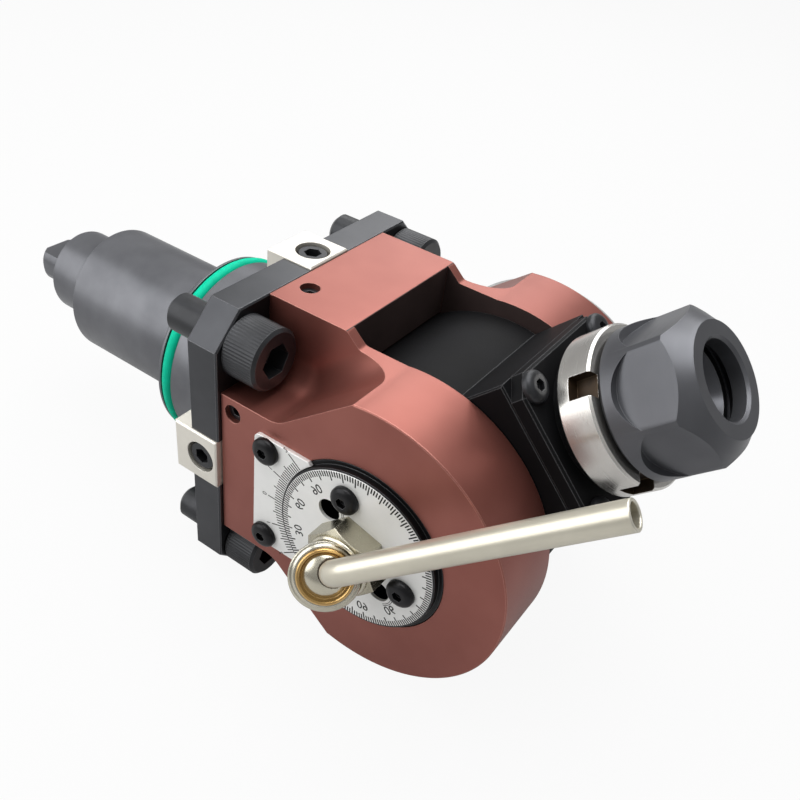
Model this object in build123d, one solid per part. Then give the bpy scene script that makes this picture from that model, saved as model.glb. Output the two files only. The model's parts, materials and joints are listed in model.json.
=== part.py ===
from build123d import *
from math import atan, cos, hypot, radians, sin, sqrt, tan
import os

# Adjustable driven tool holder for a turret lathe. All sizes are in millimetres.
# The origin is on the shank's axis in the seating face at the flange's back.
# +X runs along the shank towards the nose, +Z is up and the dial looks along -Y.
# The swivel head turns about the pivot axis, which is parallel to Y.

# Fits and clearances
running_fit = 0.03
bush_fit = 0.05
moving_gap = 0.3
nozzle_ball_fit = 0.1

# Shank and flange
pilot_diameter = 55.0
pilot_length = 28.0
shank_diameter = 39.5
shank_end = 73.5
flange_thickness = 9.3
flange_half_width = 41.5
flange_half_height = 42.0
flange_chamfer = 8.3
o_ring_section = 3.0
o_ring_place = 24.3
o_ring_stand_out = 0.0
bolt_spacing = 64.0
bolt_diameter = 10.0
bolt_reach = 12.3
bolt_thread_diameter = 9.6
bolt_shank_stand_out = 1.0

# Locating keys
key_width = 15.0
key_thickness = 8.0
key_stand_out = 0.7
key_reach = 5.1
key_screw_diameter = 5.0
key_screw_x = 3.6
key_screw_sink = 3.2
key_screw_head = 2.6

# Fork housing
fork_half_width = 40.2
fork_half_height = 42.0
block_front = 32.0
neck_half_height = 38.6
neck_start = 36.0
cheek_radius = 39.0
pivot_x = 53.0
window_half_width = 20.25
pocket_wall_y = 23.0
pocket_floor_z = 22.2
pocket_ramp_start = 24.0
pocket_ramp_radius = 8.0
pocket_ramp_angle = 39.0
pocket_corner_radius = 7.0
fork_screw_y = 18.0
fork_screw_z = 31.8
fork_screw_diameter = 6.0
fork_screw_grip = 12.0
set_screw_diameter = 5.0
set_screw_depth = 6.5
top_set_screw = (14.3, -14.2)
side_set_screw = (13.2, 17.9)

# Drive shaft and its bearings
drive_shaft_diameter = 20.0
drive_bearing_diameter = 32.0
drive_bearing_width = 7.0
drive_spacer_wall = 3.45
drive_seal_width = 6.5
drive_seal_recess = 3.0
ring_nut_width = 7.0
ring_nut_slot = 4.0
ring_nut_slot_depth = 3.0
coupling_diameter = 26.4
coupling_end = 91.3
tang_width = 15.0
tang_thickness = 9.0
tang_length = 12.5
drive_gear_seat_diameter = 18.0
drive_key_size = 4.0

# Gears
spur_module = 1.0
drive_gear_teeth = 46
layshaft_gear_teeth = 14
gear_width = 6.0
nose_module = 1.25
nose_gear_teeth = 18
bevel_face = 5.0
nose_gear_set_back = 3.0
layshaft_diameter = 8.0
layshaft_bearing_diameter = 12.0
layshaft_bearing_width = 5.4
pinion_seat_diameter = 6.4
wheel_overrun = 1.23
wheel_disc = 4.0
wheel_hub = 2.0
pivot_shaft_diameter = 12.0
pivot_shaft_tip_diameter = 10.0
circlip_thickness = 0.9
circlip_width = 2.0
nose_gear_hub_share = 0.385
nose_gear_hub_radius = 8.5
bearing_gap_share = 0.4445

# Swivel head
tilt = 45.0
drum_radius = 35.0
block_half_height = 19.5
head_length = 43.3
gear_room_radius = 14.5
gear_room_near = 9.0
gear_room_far = 16.5
dial_trunnion_radius = 19.0
dial_trunnion_flange_radius = 23.25
dial_flange_thickness = 3.5
dial_flange_stand_out = 1.8
dial_radius = 21.7
dial_thickness = 0.8
far_trunnion_radius = 14.5
far_trunnion_length = 10.35
bush_wall = 2.0
pivot_bearing_diameter = 18.0
pivot_bearing_width = 6.5
dial_screw_circle = 14.7
dial_screw_diameter = 4.0
trunnion_screw_circle = 11.4
trunnion_screw_diameter = 5.0
trunnion_screw_hole = 6.0
trunnion_screw_grip = 8.5
trunnion_screw_sink = 7.0
spigot_radius = 8.0
spigot_length = 3.0
far_trunnion_screw_circle = 11.8
far_trunnion_screw_diameter = 3.0
far_trunnion_screw_grip = 3.0
far_trunnion_screw_head = 2.8
far_trunnion_screw_sink = 3.0
plate_screw_length = 6.5

# Gear cover on the far cheek
gear_cover_radius = 32.5
gear_cover_wall = 2.9
wheel_cavity_radius = 24.5
cover_screw_circle = 28.5
cover_screw_diameter = 4.0
outer_bearing_diameter = 22.0
outer_bearing_width = 6.0

# Front cover, spindle and collet nut
front_cover_thickness = 3.7
front_cover_chamfer = 4.3
front_cover_screw_place = 15.7
front_cover_screw_diameter = 4.0
front_cover_screw_grip = 7.0
rear_bearing_diameter = 28.0
front_bearing_diameter = 32.0
spindle_bearing_width = 7.0
rear_journal_diameter = 15.0
front_journal_diameter = 20.0
spindle_shoulder_diameter = 27.0
wrench_ring_gap = 2.8
wrench_ring_length = 8.2
wrench_ring_radius = 18.5
wrench_slot_width = 5.2
wrench_slot_depth = 5.0
wrench_slot_angle = 48.0
spindle_nose_length = 9.5
spindle_thread_diameter = 25.0
collet_mouth_diameter = 21.0
collet_taper = 8.0
collet_taper_length = 29.0
draw_hole_diameter = 8.0
nut_gap = 0.6
nut_length = 18.6
nut_diameter = 34.0
nut_across_flats = 30.0
nut_hole_diameter = 17.2
nut_flat_runout_radius = 10.0
nut_flat_setback = 3.2

# Vernier plate
vernier_back = 21.0
vernier_half_height = 17.5
vernier_thickness = 1.0
vernier_gap = 0.35
vernier_screw_x = 25.0
vernier_screw_z = 14.0
vernier_screw_diameter = 4.0

# Coolant nozzle
nozzle_hex = 17.0
nozzle_hex_height = 4.4
nozzle_neck_radius = 8.3
nozzle_neck_height = 3.5
nozzle_nut_radius = 10.4
nozzle_nut_height = 5.4
nozzle_ball_radius = 6.5
nozzle_height = 10.0
nozzle_ball_drop = 8.0
nozzle_ring_stand_out = 0.5
nozzle_ring_flare = 1.2
nozzle_thread_diameter = 10.0
tube_radius = 3.0
tube_wall = 0.7
tube_seat = 1.5
tube_bend_radius = 8.0
tube_corner = (8.8, 3.5, 9.0)
tube_end = (74.9, -3.2, -5.1)

# Sizes that follow from the ones above
half_bolt = bolt_spacing / 2
head_half_width = window_half_width - moving_gap
seat_radius = drum_radius + 0.4
layshaft_y = spur_module * (drive_gear_teeth + layshaft_gear_teeth) / 2
gear_start = flange_thickness + 0.7
gear_recess_end = gear_start + gear_width + 0.4
layshaft_bore_end = pivot_x - spur_module * drive_gear_teeth / 2 - 1.5
pinion_cavity_end = layshaft_bore_end + 7.1
wheel_cavity_floor = window_half_width + far_trunnion_length + 0.4
dial_seat_y = -(fork_half_width - 2.0)
dial_face_y = -(fork_half_width + dial_flange_stand_out)
dial_recess_y = dial_face_y + 0.7
cover_face = head_length + front_cover_thickness
front_bearing_end = head_length - 1.3
front_bearing_start = front_bearing_end - 2 * spindle_bearing_width
fitting_seat_y = dial_recess_y - dial_thickness
wheel_back = layshaft_y + spur_module * layshaft_gear_teeth / 2
circlip_seat = wheel_back + wheel_disc + wheel_hub
outer_bearing_seat = circlip_seat + circlip_thickness + 0.4
gear_cover_top = outer_bearing_seat + outer_bearing_width + gear_cover_wall
gear_room_end = nose_gear_set_back + nose_module * nose_gear_teeth / 2
spindle_room = front_bearing_start - spindle_bearing_width - gear_room_end
nose_gear_hub = nose_gear_hub_share * spindle_room
rear_bearing_start = front_bearing_start - spindle_bearing_width - bearing_gap_share * spindle_room
wrench_ring_start = cover_face + wrench_ring_gap
wrench_ring_end = wrench_ring_start + wrench_ring_length
spindle_nose_end = wrench_ring_end + spindle_nose_length
nut_start = wrench_ring_end + nut_gap
nut_end = nut_start + nut_length
nut_flat_start = nut_start + nut_flat_setback

SHANK = Plane(origin=(0, 0, 0), x_dir=(0, 1, 0), z_dir=(1, 0, 0)).location
PIVOT = Plane(origin=(pivot_x, 0, 0), x_dir=(0, 0, 1), z_dir=(0, 1, 0)).location
nose_direction = (cos(radians(tilt)), 0, sin(radians(tilt)))
NOSE = Plane(origin=(pivot_x, 0, 0), x_dir=(0, 1, 0), z_dir=nose_direction).location
corner_signs = [(sy, sz) for sy in (-1, 1) for sz in (-1, 1)]


def rod(radius, low, high, x=0.0, y=0.0):
    """A cylinder along the local Z axis from low to high."""
    return Pos(x, y, (low + high) / 2) * Cylinder(radius, high - low)


def ring(outer, inner, low, high, x=0.0, y=0.0):
    """A plain ring along the local Z axis."""
    return rod(outer, low, high, x, y) - rod(inner, low - 1, high + 1, x, y)


def bearing(outer, inner, low, high, x=0.0, y=0.0):
    """A bearing as one closed ring, with the small chamfers of its outer race."""
    body = rod(outer, low, high, x, y)
    body = chamfer(body.edges().filter_by(GeomType.CIRCLE), 0.4)
    return body - rod(inner, low - 1, high + 1, x, y)


def turned(points):
    """A solid of revolution about the local Z axis from (radius, height) points."""
    return revolve(Plane.XZ * make_face(Polyline(*points, close=True)), Axis.Z)


def block(x0, x1, y0, y1, z0, z1):
    """A box between two corners."""
    return Pos((x0 + x1) / 2, (y0 + y1) / 2, (z0 + z1) / 2) * Box(x1 - x0, y1 - y0, z1 - z0)


def hexagon(across_flats, low, high):
    """A hexagonal bar along the local Z axis with a flat towards +Y."""
    return Pos(0, 0, low) * extrude(RegularPolygon(across_flats / 2, 6, major_radius=False), high - low)


def socket_screw(diameter, length, head_height=None):
    """A socket head cap screw: the head's underside is at height 0 and the shank points down."""
    head_height = head_height or diameter
    head = rod(0.8 * diameter, 0, head_height)
    head = chamfer(head.edges().sort_by(Axis.Z)[-1], 0.08 * diameter)
    shank = rod(diameter / 2, -length, 0)
    shank = chamfer(shank.edges().sort_by(Axis.Z)[0], 0.12 * diameter)
    return head + shank - hexagon(0.8 * diameter, head_height - 0.5 * diameter, head_height + 1)


def button_screw(diameter, length):
    """A button head screw with a domed head and a hexagon socket."""
    radius = 0.92 * diameter
    height = 0.55 * diameter
    flat = 0.5 * diameter
    side = 0.12 * diameter
    outline = Line((0, -length), (diameter / 2, -length)) + Line((diameter / 2, -length), (diameter / 2, 0))
    outline += Line((diameter / 2, 0), (radius, 0)) + Line((radius, 0), (radius, side))
    outline += ThreePointArc((radius, side), (0.80 * radius, 0.74 * height), (flat, height))
    outline += Line((flat, height), (0, height)) + Line((0, height), (0, -length))
    body = revolve(Plane.XZ * make_face(outline), Axis.Z)
    return body - hexagon(0.62 * diameter, height - 0.34 * diameter, height + 1)


def gear_points(teeth, tip_radius, root_radius, tooth_first, scale=1.0):
    """The outline of a gear with straight-sided teeth, with a tooth or a gap on the local X axis."""
    pitch = 360.0 / teeth
    start = 0.0 if tooth_first else pitch / 2
    points = []
    for index in range(teeth):
        middle = start + index * pitch
        tooth = ((root_radius, -0.30), (tip_radius, -0.10), (tip_radius, 0.10), (root_radius, 0.30))
        for radius, share in tooth:
            angle = radians(middle + share * pitch)
            points.append((scale * radius * cos(angle), scale * radius * sin(angle)))
    return points


def spur_gear(teeth, module, low, high, bore, tooth_first):
    """A spur gear along the local Z axis."""
    radius = module * teeth / 2
    outline = gear_points(teeth, radius + 0.8 * module, radius - 1.1 * module, tooth_first)
    gear = Pos(0, 0, low) * extrude(make_face(Polyline(*outline, close=True)), high - low)
    return gear - rod(bore / 2, low - 1, high + 1)


def bevel_gear(teeth, mate_teeth, module, face, bore, hub_length, hub_radius, tooth_first, overrun=1.0):
    """A straight bevel gear on the local Z axis with its cone's apex at the origin.

    A wheel with a wide cone has its teeth run on by the overrun and turned down to its rim.
    """
    radius = module * teeth / 2
    apex_distance = module * mate_teeth / 2
    cone_distance = hypot(radius, apex_distance)
    cone_angle = atan(radius / apex_distance)
    tip = apex_distance * tan(cone_angle + atan(0.8 * module / cone_distance))
    root = apex_distance * tan(cone_angle - atan(1.1 * module / cone_distance))
    inner_scale = 1 - face / cone_distance
    outer = make_face(Polyline(*gear_points(teeth, tip, root, tooth_first, overrun), close=True))
    inner = make_face(Polyline(*gear_points(teeth, tip, root, tooth_first, inner_scale), close=True))
    back = apex_distance * overrun
    gear = loft([Pos(0, 0, apex_distance * inner_scale) * inner, Pos(0, 0, back) * outer], ruled=True)
    if overrun > 1:
        gear = gear - ring(3 * radius, hub_radius, 0, back + 1)
    gear = gear + rod(hub_radius, back, back + hub_length)
    return gear - rod(bore / 2, 0, back + hub_length + 1)


# Shank, flange and what locates and fastens them

def shank_flange():
    """The steel shank with its pilot, groove, square flange and the long bearing bore."""
    flange = block(0, flange_thickness, -flange_half_width, flange_half_width,
                   -flange_half_height, flange_half_height)
    flange = chamfer(flange.edges().filter_by(Axis.X), flange_chamfer)
    pilot_radius = pilot_diameter / 2
    groove_floor = pilot_radius + o_ring_stand_out - o_ring_section
    groove_half = o_ring_section / 2 + 0.35
    body = SHANK * turned([
        (0, 1), (0, -shank_end), (shank_diameter / 2 - 1, -shank_end), (shank_diameter / 2, -shank_end + 1),
        (shank_diameter / 2, -pilot_length), (pilot_radius - 1, -pilot_length),
        (pilot_radius, -pilot_length + 1),
        (pilot_radius, -o_ring_place - groove_half), (groove_floor, -o_ring_place - groove_half),
        (groove_floor, -o_ring_place + groove_half), (pilot_radius, -o_ring_place + groove_half),
        (pilot_radius, 1)])
    body = flange + body
    seat_end = drive_bearing_width
    body -= SHANK * rod(drive_bearing_diameter / 2, -shank_end - 1, seat_end)
    body -= SHANK * rod(drive_bearing_diameter / 2 - 3, 0, flange_thickness + 1)
    for sy, sz in corner_signs:
        body -= SHANK * rod(bolt_diameter / 2 + 0.25, -1, flange_thickness + 1,
                            sy * half_bolt, sz * half_bolt)
        hole = (sy * fork_screw_y, sz * fork_screw_z)
        body -= SHANK * rod(fork_screw_diameter / 2 + 0.2, -1, flange_thickness + 1, *hole)
        body -= SHANK * rod(0.85 * fork_screw_diameter, -1, fork_screw_diameter, *hole)
    slot_floor = key_stand_out - key_thickness
    for place in key_places():
        body -= place * block(-1, flange_thickness + 1, -key_width / 2, key_width / 2, slot_floor, 5)
        hole = Pos(key_screw_x, 0, 0) * rod(key_screw_diameter / 2, -key_thickness - 4.5, 0)
        body -= place * hole
    return body


def key_places():
    """One frame for each side of the flange, with local Z pointing out of the flange."""
    reaches = (flange_half_height, flange_half_width) * 2
    return [Rot(90 * quarter, 0, 0) * Pos(0, 0, reach) for quarter, reach in enumerate(reaches)]


def locating_keys():
    """Four keys let into the flange, which stand out of its back to fit the turret's slots."""
    keys = []
    screw_seat = key_stand_out - key_screw_sink
    for place in key_places():
        key = block(-key_reach, flange_thickness - 0.2, -key_width / 2, key_width / 2,
                    -key_thickness + key_stand_out, key_stand_out)
        key = chamfer(key.edges(), 0.4)
        key -= Pos(key_screw_x, 0, 0) * rod(0.9 * key_screw_diameter, screw_seat, key_stand_out + 1)
        key -= Pos(key_screw_x, 0, 0) * rod(key_screw_diameter / 2 + 0.2, -key_thickness - 1, 1)
        keys.append(place * key)
    return keys


def key_screws():
    """The low-headed screws in the keys."""
    screw = socket_screw(key_screw_diameter, key_thickness + 0.8, key_screw_head)
    return [place * Pos(key_screw_x, 0, key_stand_out - key_screw_sink) * screw for place in key_places()]


def mounting_bolts():
    """The four cap screws that hold the flange to the turret."""
    screw = socket_screw(bolt_diameter, flange_thickness + bolt_reach)
    thread_start = -flange_thickness - bolt_shank_stand_out
    screw -= ring(bolt_diameter, bolt_thread_diameter / 2, -flange_thickness - bolt_reach - 1, thread_start)
    return [SHANK * Pos(sy * half_bolt, sz * half_bolt, flange_thickness) * screw for sy, sz in corner_signs]


def pilot_o_ring():
    """The seal in the pilot's groove."""
    ring_radius = pilot_diameter / 2 + o_ring_stand_out - o_ring_section / 2
    return SHANK * Pos(0, 0, -o_ring_place) * Torus(ring_radius, o_ring_section / 2)


def fork_screws():
    """The cap screws through the flange's back into the fork."""
    length = flange_thickness - fork_screw_diameter + fork_screw_grip
    screw = Rot(180, 0, 0) * socket_screw(fork_screw_diameter, length, fork_screw_diameter - 0.3)
    return [SHANK * Pos(sy * fork_screw_y, sz * fork_screw_z, fork_screw_diameter) * screw
            for sy, sz in corner_signs]


# Fork housing

def fork_profile():
    """The fork's outline from the side: a block, a shallow neck and a round cheek."""
    half = [(flange_thickness, fork_half_height), (block_front, fork_half_height),
            (neck_start, neck_half_height), (pivot_x, neck_half_height)]
    outline = half + [(x, -z) for x, z in reversed(half)]
    return make_face(Polyline(*outline, close=True)) + Pos(pivot_x, 0) * Circle(cheek_radius)


def bolt_pocket():
    """The space cut for one bolt head: level at first, then a ramp that runs out at the neck."""
    ramp = radians(pocket_ramp_angle)
    arc_end = (pocket_ramp_start + pocket_ramp_radius * sin(ramp),
               pocket_floor_z + pocket_ramp_radius * (1 - cos(ramp)))
    arc_middle = (pocket_ramp_start + pocket_ramp_radius * sin(ramp / 2),
                  pocket_floor_z + pocket_ramp_radius * (1 - cos(ramp / 2)))
    over = fork_half_height + 10
    ramp_end = (arc_end[0] + (over - arc_end[1]) / tan(ramp), over)
    start = (flange_thickness - 1, pocket_floor_z)
    outline = Line(start, (pocket_ramp_start, pocket_floor_z))
    outline += ThreePointArc((pocket_ramp_start, pocket_floor_z), arc_middle, arc_end)
    outline += Line(arc_end, ramp_end) + Line(ramp_end, (start[0], over)) + Line((start[0], over), start)
    cut = extrude(Plane.XZ * make_face(outline), fork_half_width + 10)
    cut = cut - block(-10, 200, -pocket_wall_y, 1, -200, 200)
    inner = [edge for edge in cut.edges() if abs(edge.center().Y + pocket_wall_y) < 0.01
             and edge.center().Z < over - 1 and edge.center().X > flange_thickness]
    return fillet(inner, pocket_corner_radius)


def fork_housing():
    """The anodised fork between the flange and the swivel head."""
    body = extrude(Plane.XZ * fork_profile(), fork_half_width, both=True)
    corners = [edge for edge in body.edges().filter_by(Axis.Y)
               if abs(edge.center().X - neck_start) < 0.1 or abs(edge.center().X - block_front) < 0.1]
    body = fillet(corners, 2.0)
    body -= block(block_front, 200, -window_half_width, window_half_width, -200, 200)
    body -= PIVOT * rod(seat_radius, -window_half_width, window_half_width)
    pocket = bolt_pocket()
    for cut in (pocket, mirror(pocket, Plane.XZ)):
        body -= cut
        body -= mirror(cut, Plane.XY)
    body -= PIVOT * rod(dial_trunnion_radius + bush_wall, dial_seat_y, -window_half_width + 1)
    body -= PIVOT * rod(dial_trunnion_flange_radius + 0.2, -fork_half_width - 1, dial_seat_y)
    body -= PIVOT * rod(far_trunnion_radius + bush_wall, window_half_width - 1, wheel_cavity_floor)
    body -= PIVOT * rod(wheel_cavity_radius, wheel_cavity_floor, fork_half_width + 1)
    gear_recess = spur_module * (drive_gear_teeth / 2 + 0.8) + 0.8
    lay_recess = spur_module * (layshaft_gear_teeth / 2 + 0.8) + 0.8
    body -= SHANK * rod(gear_recess, flange_thickness - 1, gear_recess_end)
    body -= SHANK * rod(lay_recess, flange_thickness - 1, gear_recess_end, layshaft_y)
    body -= SHANK * rod(layshaft_bearing_diameter / 2, gear_recess_end - 1, layshaft_bore_end, layshaft_y)
    body -= SHANK * rod(lay_recess - 0.3, layshaft_bore_end, pinion_cavity_end, layshaft_y)
    fork_screw_end = flange_thickness + fork_screw_grip + 1
    for sy, sz in corner_signs:
        body -= SHANK * rod(fork_screw_diameter / 2, flange_thickness - 1, fork_screw_end,
                            sy * fork_screw_y, sz * fork_screw_z)
    for hole in set_screw_places():
        body -= hole * rod(set_screw_diameter / 2, -set_screw_depth, 1)
    for place in gear_cover_screw_places():
        body -= PIVOT * place * rod(cover_screw_diameter / 2, fork_half_width - 8, fork_half_width + 1)
    for sz in (-1, 1):
        body -= vernier_screw_place(sz) * rod(vernier_screw_diameter / 2, -plate_screw_length - 0.5, 1)
    return body


def set_screw_places():
    """The set screws' mouths on the top and on the dial side, with local Z pointing out."""
    top = Pos(top_set_screw[0], top_set_screw[1], fork_half_height)
    side = Pos(side_set_screw[0], -fork_half_width, side_set_screw[1]) * Rot(90, 0, 0)
    return [top, side]


def set_screws():
    """The set screws that take up the play between the fork and the flange's dowels."""
    length = set_screw_depth - 1.5
    screw = rod(set_screw_diameter / 2, -set_screw_depth, -set_screw_depth + length)
    screw -= hexagon(0.5 * set_screw_diameter, -set_screw_depth + length - 2.5, 1)
    return [place * screw for place in set_screw_places()]


def pivot_bushes():
    """The bronze bushes in both cheeks that carry the head's trunnions."""
    near = ring(dial_trunnion_radius + bush_wall, dial_trunnion_radius + bush_fit,
                dial_seat_y + 0.2, -window_half_width)
    far = ring(far_trunnion_radius + bush_wall, far_trunnion_radius + bush_fit,
               window_half_width, wheel_cavity_floor - 0.2)
    return [PIVOT * near, PIVOT * far]


# Vernier plate

def vernier_screw_place(side):
    """A vernier screw's seat on the cheek's face, with local Z pointing out of it."""
    return Pos(vernier_screw_x, -fork_half_width, side * vernier_screw_z) * Rot(90, 0, 0)


def vernier_plate():
    """The vernier scale beside the dial, with its inner edge struck from the pivot."""
    inner = dial_trunnion_flange_radius + vernier_gap
    tip_x = pivot_x - sqrt(inner ** 2 - vernier_half_height ** 2)
    trim = 1.8
    outline = [(vernier_back, -vernier_half_height), (tip_x - trim, -vernier_half_height),
               (tip_x + trim, -vernier_half_height + 2 * trim), (pivot_x, -vernier_half_height + 2 * trim),
               (pivot_x, vernier_half_height - 2 * trim), (tip_x + trim, vernier_half_height - 2 * trim),
               (tip_x - trim, vernier_half_height), (vernier_back, vernier_half_height)]
    face = make_face(Polyline(*outline, close=True))
    back_corners = face.vertices().sort_by(Axis.X)[:2]
    face = fillet(back_corners, 1.6)
    face -= Pos(pivot_x, 0) * Circle(inner)
    plate = extrude(Plane.XZ * face, vernier_thickness)
    plate = Pos(0, -fork_half_width, 0) * plate
    for side in (-1, 1):
        plate -= vernier_screw_place(side) * rod(vernier_screw_diameter / 2 + 0.2, -1, 3)
    return plate


def vernier_screws():
    """The two button head screws of the vernier plate."""
    screw = Pos(0, 0, vernier_thickness) * button_screw(vernier_screw_diameter, plate_screw_length)
    return [vernier_screw_place(side) * screw for side in (-1, 1)]


# Drive line

def drive_shaft():
    """The driven shaft, with the tang at its tail and the gear's seat at its front."""
    shaft_radius = drive_shaft_diameter / 2
    coupling_radius = coupling_diameter / 2
    body = SHANK * turned([
        (0, -coupling_end), (coupling_radius - 1.2, -coupling_end), (coupling_radius, -coupling_end + 1.2),
        (coupling_radius, -shank_end - 0.5), (shaft_radius, -shank_end - 0.5),
        (shaft_radius, gear_start - 0.1), (drive_gear_seat_diameter / 2, gear_start - 0.1),
        (drive_gear_seat_diameter / 2, gear_start + gear_width), (0, gear_start + gear_width)])
    tang = block(-coupling_end - tang_length, -coupling_end + 1, -tang_width / 2, tang_width / 2,
                 -tang_thickness / 2, tang_thickness / 2)
    end_edges = tang.faces().sort_by(Axis.X)[0].edges()
    tang = chamfer(end_edges, 1.5)
    return body + tang - drive_key_slot()


def drive_key_slot():
    """The key's own space, half in the shaft and half in the gear."""
    reach = drive_gear_seat_diameter / 2
    half = drive_key_size / 2
    return block(gear_start, gear_start + gear_width, -reach - half, -reach + half, -half, half)


def drive_gear():
    """The spur gear on the drive shaft, behind the fork's back wall."""
    gear = SHANK * spur_gear(drive_gear_teeth, spur_module, gear_start, gear_start + gear_width,
                             drive_gear_seat_diameter, True)
    return gear - drive_key_slot()


def drive_gear_key():
    """The parallel key between the drive shaft and its gear."""
    return drive_key_slot()


def front_drive_bearings():
    """The pair of bearings behind the flange's lip."""
    outer = drive_bearing_diameter / 2
    inner = drive_shaft_diameter / 2 + running_fit
    width = drive_bearing_width
    return [SHANK * bearing(outer, inner, 0, width), SHANK * bearing(outer, inner, -width, 0)]


def drive_rear_stack():
    """The front ends of the seal, the ring nut and the rear bearing, counted up from the shank's tail."""
    seal_top = -shank_end + drive_seal_recess + drive_seal_width
    nut_top = seal_top + ring_nut_width
    bearing_top = nut_top + drive_bearing_width
    return seal_top, nut_top, bearing_top


def drive_bearing_spacer():
    """The sleeve that keeps the front and rear drive bearings apart."""
    _, _, bearing_top = drive_rear_stack()
    outer = drive_bearing_diameter / 2 - 0.05
    return SHANK * ring(outer, outer - drive_spacer_wall, bearing_top, -drive_bearing_width)


def rear_drive_bearing():
    """The bearing near the shank's tail."""
    _, nut_top, bearing_top = drive_rear_stack()
    inner = drive_shaft_diameter / 2 + running_fit
    return SHANK * bearing(drive_bearing_diameter / 2, inner, nut_top, bearing_top)


def bearing_ring_nut():
    """The ring nut that holds the bearings in the shank."""
    seal_top, nut_top, _ = drive_rear_stack()
    outer = drive_bearing_diameter / 2
    half = ring_nut_slot / 2
    nut = ring(outer, drive_shaft_diameter / 2 + 1.5, seal_top, nut_top)
    for angle in (0, 90, 180, 270):
        slot = block(outer - ring_nut_slot_depth, 2 * outer, -half, half, seal_top - 1, seal_top + half)
        nut -= Rot(0, 0, angle) * slot
    return SHANK * nut


def shank_seal():
    """The lip seal at the shank's tail."""
    seal_top, _, _ = drive_rear_stack()
    inner = drive_shaft_diameter / 2 + 2 * running_fit
    return SHANK * ring(drive_bearing_diameter / 2, inner, seal_top - drive_seal_width, seal_top)


def layshaft():
    """The thin shaft that carries the drive forward inside the far cheek's root."""
    pinion_back = pivot_x - spur_module * drive_gear_teeth / 2
    return SHANK * Pos(layshaft_y, 0, 0) * turned([
        (0, gear_start), (layshaft_diameter / 2, gear_start), (layshaft_diameter / 2, pinion_back - 0.6),
        (pinion_seat_diameter / 2, pinion_back - 0.6), (pinion_seat_diameter / 2, pinion_back + 4.6),
        (0, pinion_back + 4.6)])


def layshaft_gear():
    """The layshaft's spur gear, in mesh with the drive gear."""
    gear = spur_gear(layshaft_gear_teeth, spur_module, gear_start, gear_start + gear_width,
                     layshaft_diameter, False)
    return SHANK * Pos(layshaft_y, 0, 0) * Rot(0, 0, 180) * gear


def bevel_pinion():
    """The layshaft's bevel pinion, whose apex is where its axis meets the pivot axis."""
    frame = Plane(origin=(pivot_x, layshaft_y, 0), x_dir=(0, 1, 0), z_dir=(-1, 0, 0)).location
    return frame * bevel_gear(layshaft_gear_teeth, drive_gear_teeth, spur_module, bevel_face,
                              pinion_seat_diameter, 0.5, 5.0, True)


def layshaft_bearings():
    """The two needle bearings of the layshaft."""
    first = gear_recess_end + 0.2
    outer = layshaft_bearing_diameter / 2
    inner = layshaft_diameter / 2 + running_fit
    starts = (first, layshaft_bore_end - 0.2 - layshaft_bearing_width)
    return [SHANK * bearing(outer, inner, low, low + layshaft_bearing_width, layshaft_y) for low in starts]


def bevel_wheel():
    """The large bevel wheel on the pivot shaft, under the far cover."""
    frame = Plane(origin=(pivot_x, layshaft_y, 0), x_dir=(-1, 0, 0), z_dir=(0, 1, 0)).location
    radius = spur_module * drive_gear_teeth / 2
    tooth_back = spur_module * layshaft_gear_teeth / 2 * wheel_overrun
    disc_back = wheel_back - layshaft_y + wheel_disc
    wheel = bevel_gear(drive_gear_teeth, layshaft_gear_teeth, spur_module, bevel_face, pivot_shaft_diameter,
                       disc_back - tooth_back, radius + 0.9, False, wheel_overrun)
    hub = ring(9.0, pivot_shaft_diameter / 2, disc_back, disc_back + wheel_hub)
    return frame * (wheel + hub)


def nose_gear_tip():
    """The distance from the pivot's crossing point to the small end of the equal bevel gears."""
    radius = nose_module * nose_gear_teeth / 2
    return radius * (1 - bevel_face / hypot(radius, radius))


def pivot_shaft():
    """The shaft on the pivot axis, from the far cover through the trunnion into the head."""
    tip_radius = pivot_shaft_tip_diameter / 2
    radius = pivot_shaft_diameter / 2
    gear_tip = nose_gear_tip()
    gear_back = nose_module * nose_gear_teeth / 2 + 3.5
    end = outer_bearing_seat + outer_bearing_width - 0.1
    return PIVOT * turned([
        (0, gear_tip), (tip_radius, gear_tip), (tip_radius, gear_back), (radius, gear_back),
        (radius, end - 0.6), (radius - 0.6, end), (0, end)])


def pivot_bevel_gear():
    """The bevel gear at the pivot shaft's inner end, inside the head."""
    frame = Plane(origin=(pivot_x, 0, 0), x_dir=nose_direction, z_dir=(0, 1, 0)).location
    return frame * bevel_gear(nose_gear_teeth, nose_gear_teeth, nose_module, bevel_face,
                              pivot_shaft_tip_diameter, 3.4, nose_gear_hub_radius, True)


def pivot_circlip():
    """The snap ring that keeps the bevel wheel on the pivot shaft."""
    inner = pivot_shaft_diameter / 2
    clip = ring(inner + circlip_width, inner, circlip_seat, circlip_seat + circlip_thickness)
    clip -= block(0, 2 * inner, -1.5, 1.5, circlip_seat - 1, circlip_seat + 2)
    return PIVOT * clip


# Cover on the far cheek

def gear_cover_screw_places():
    """The places of the far cover's six screws, as turns about the pivot axis."""
    return [Rot(0, 0, angle) * Pos(cover_screw_circle, 0, 0) for angle in range(0, 360, 60)]


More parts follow.
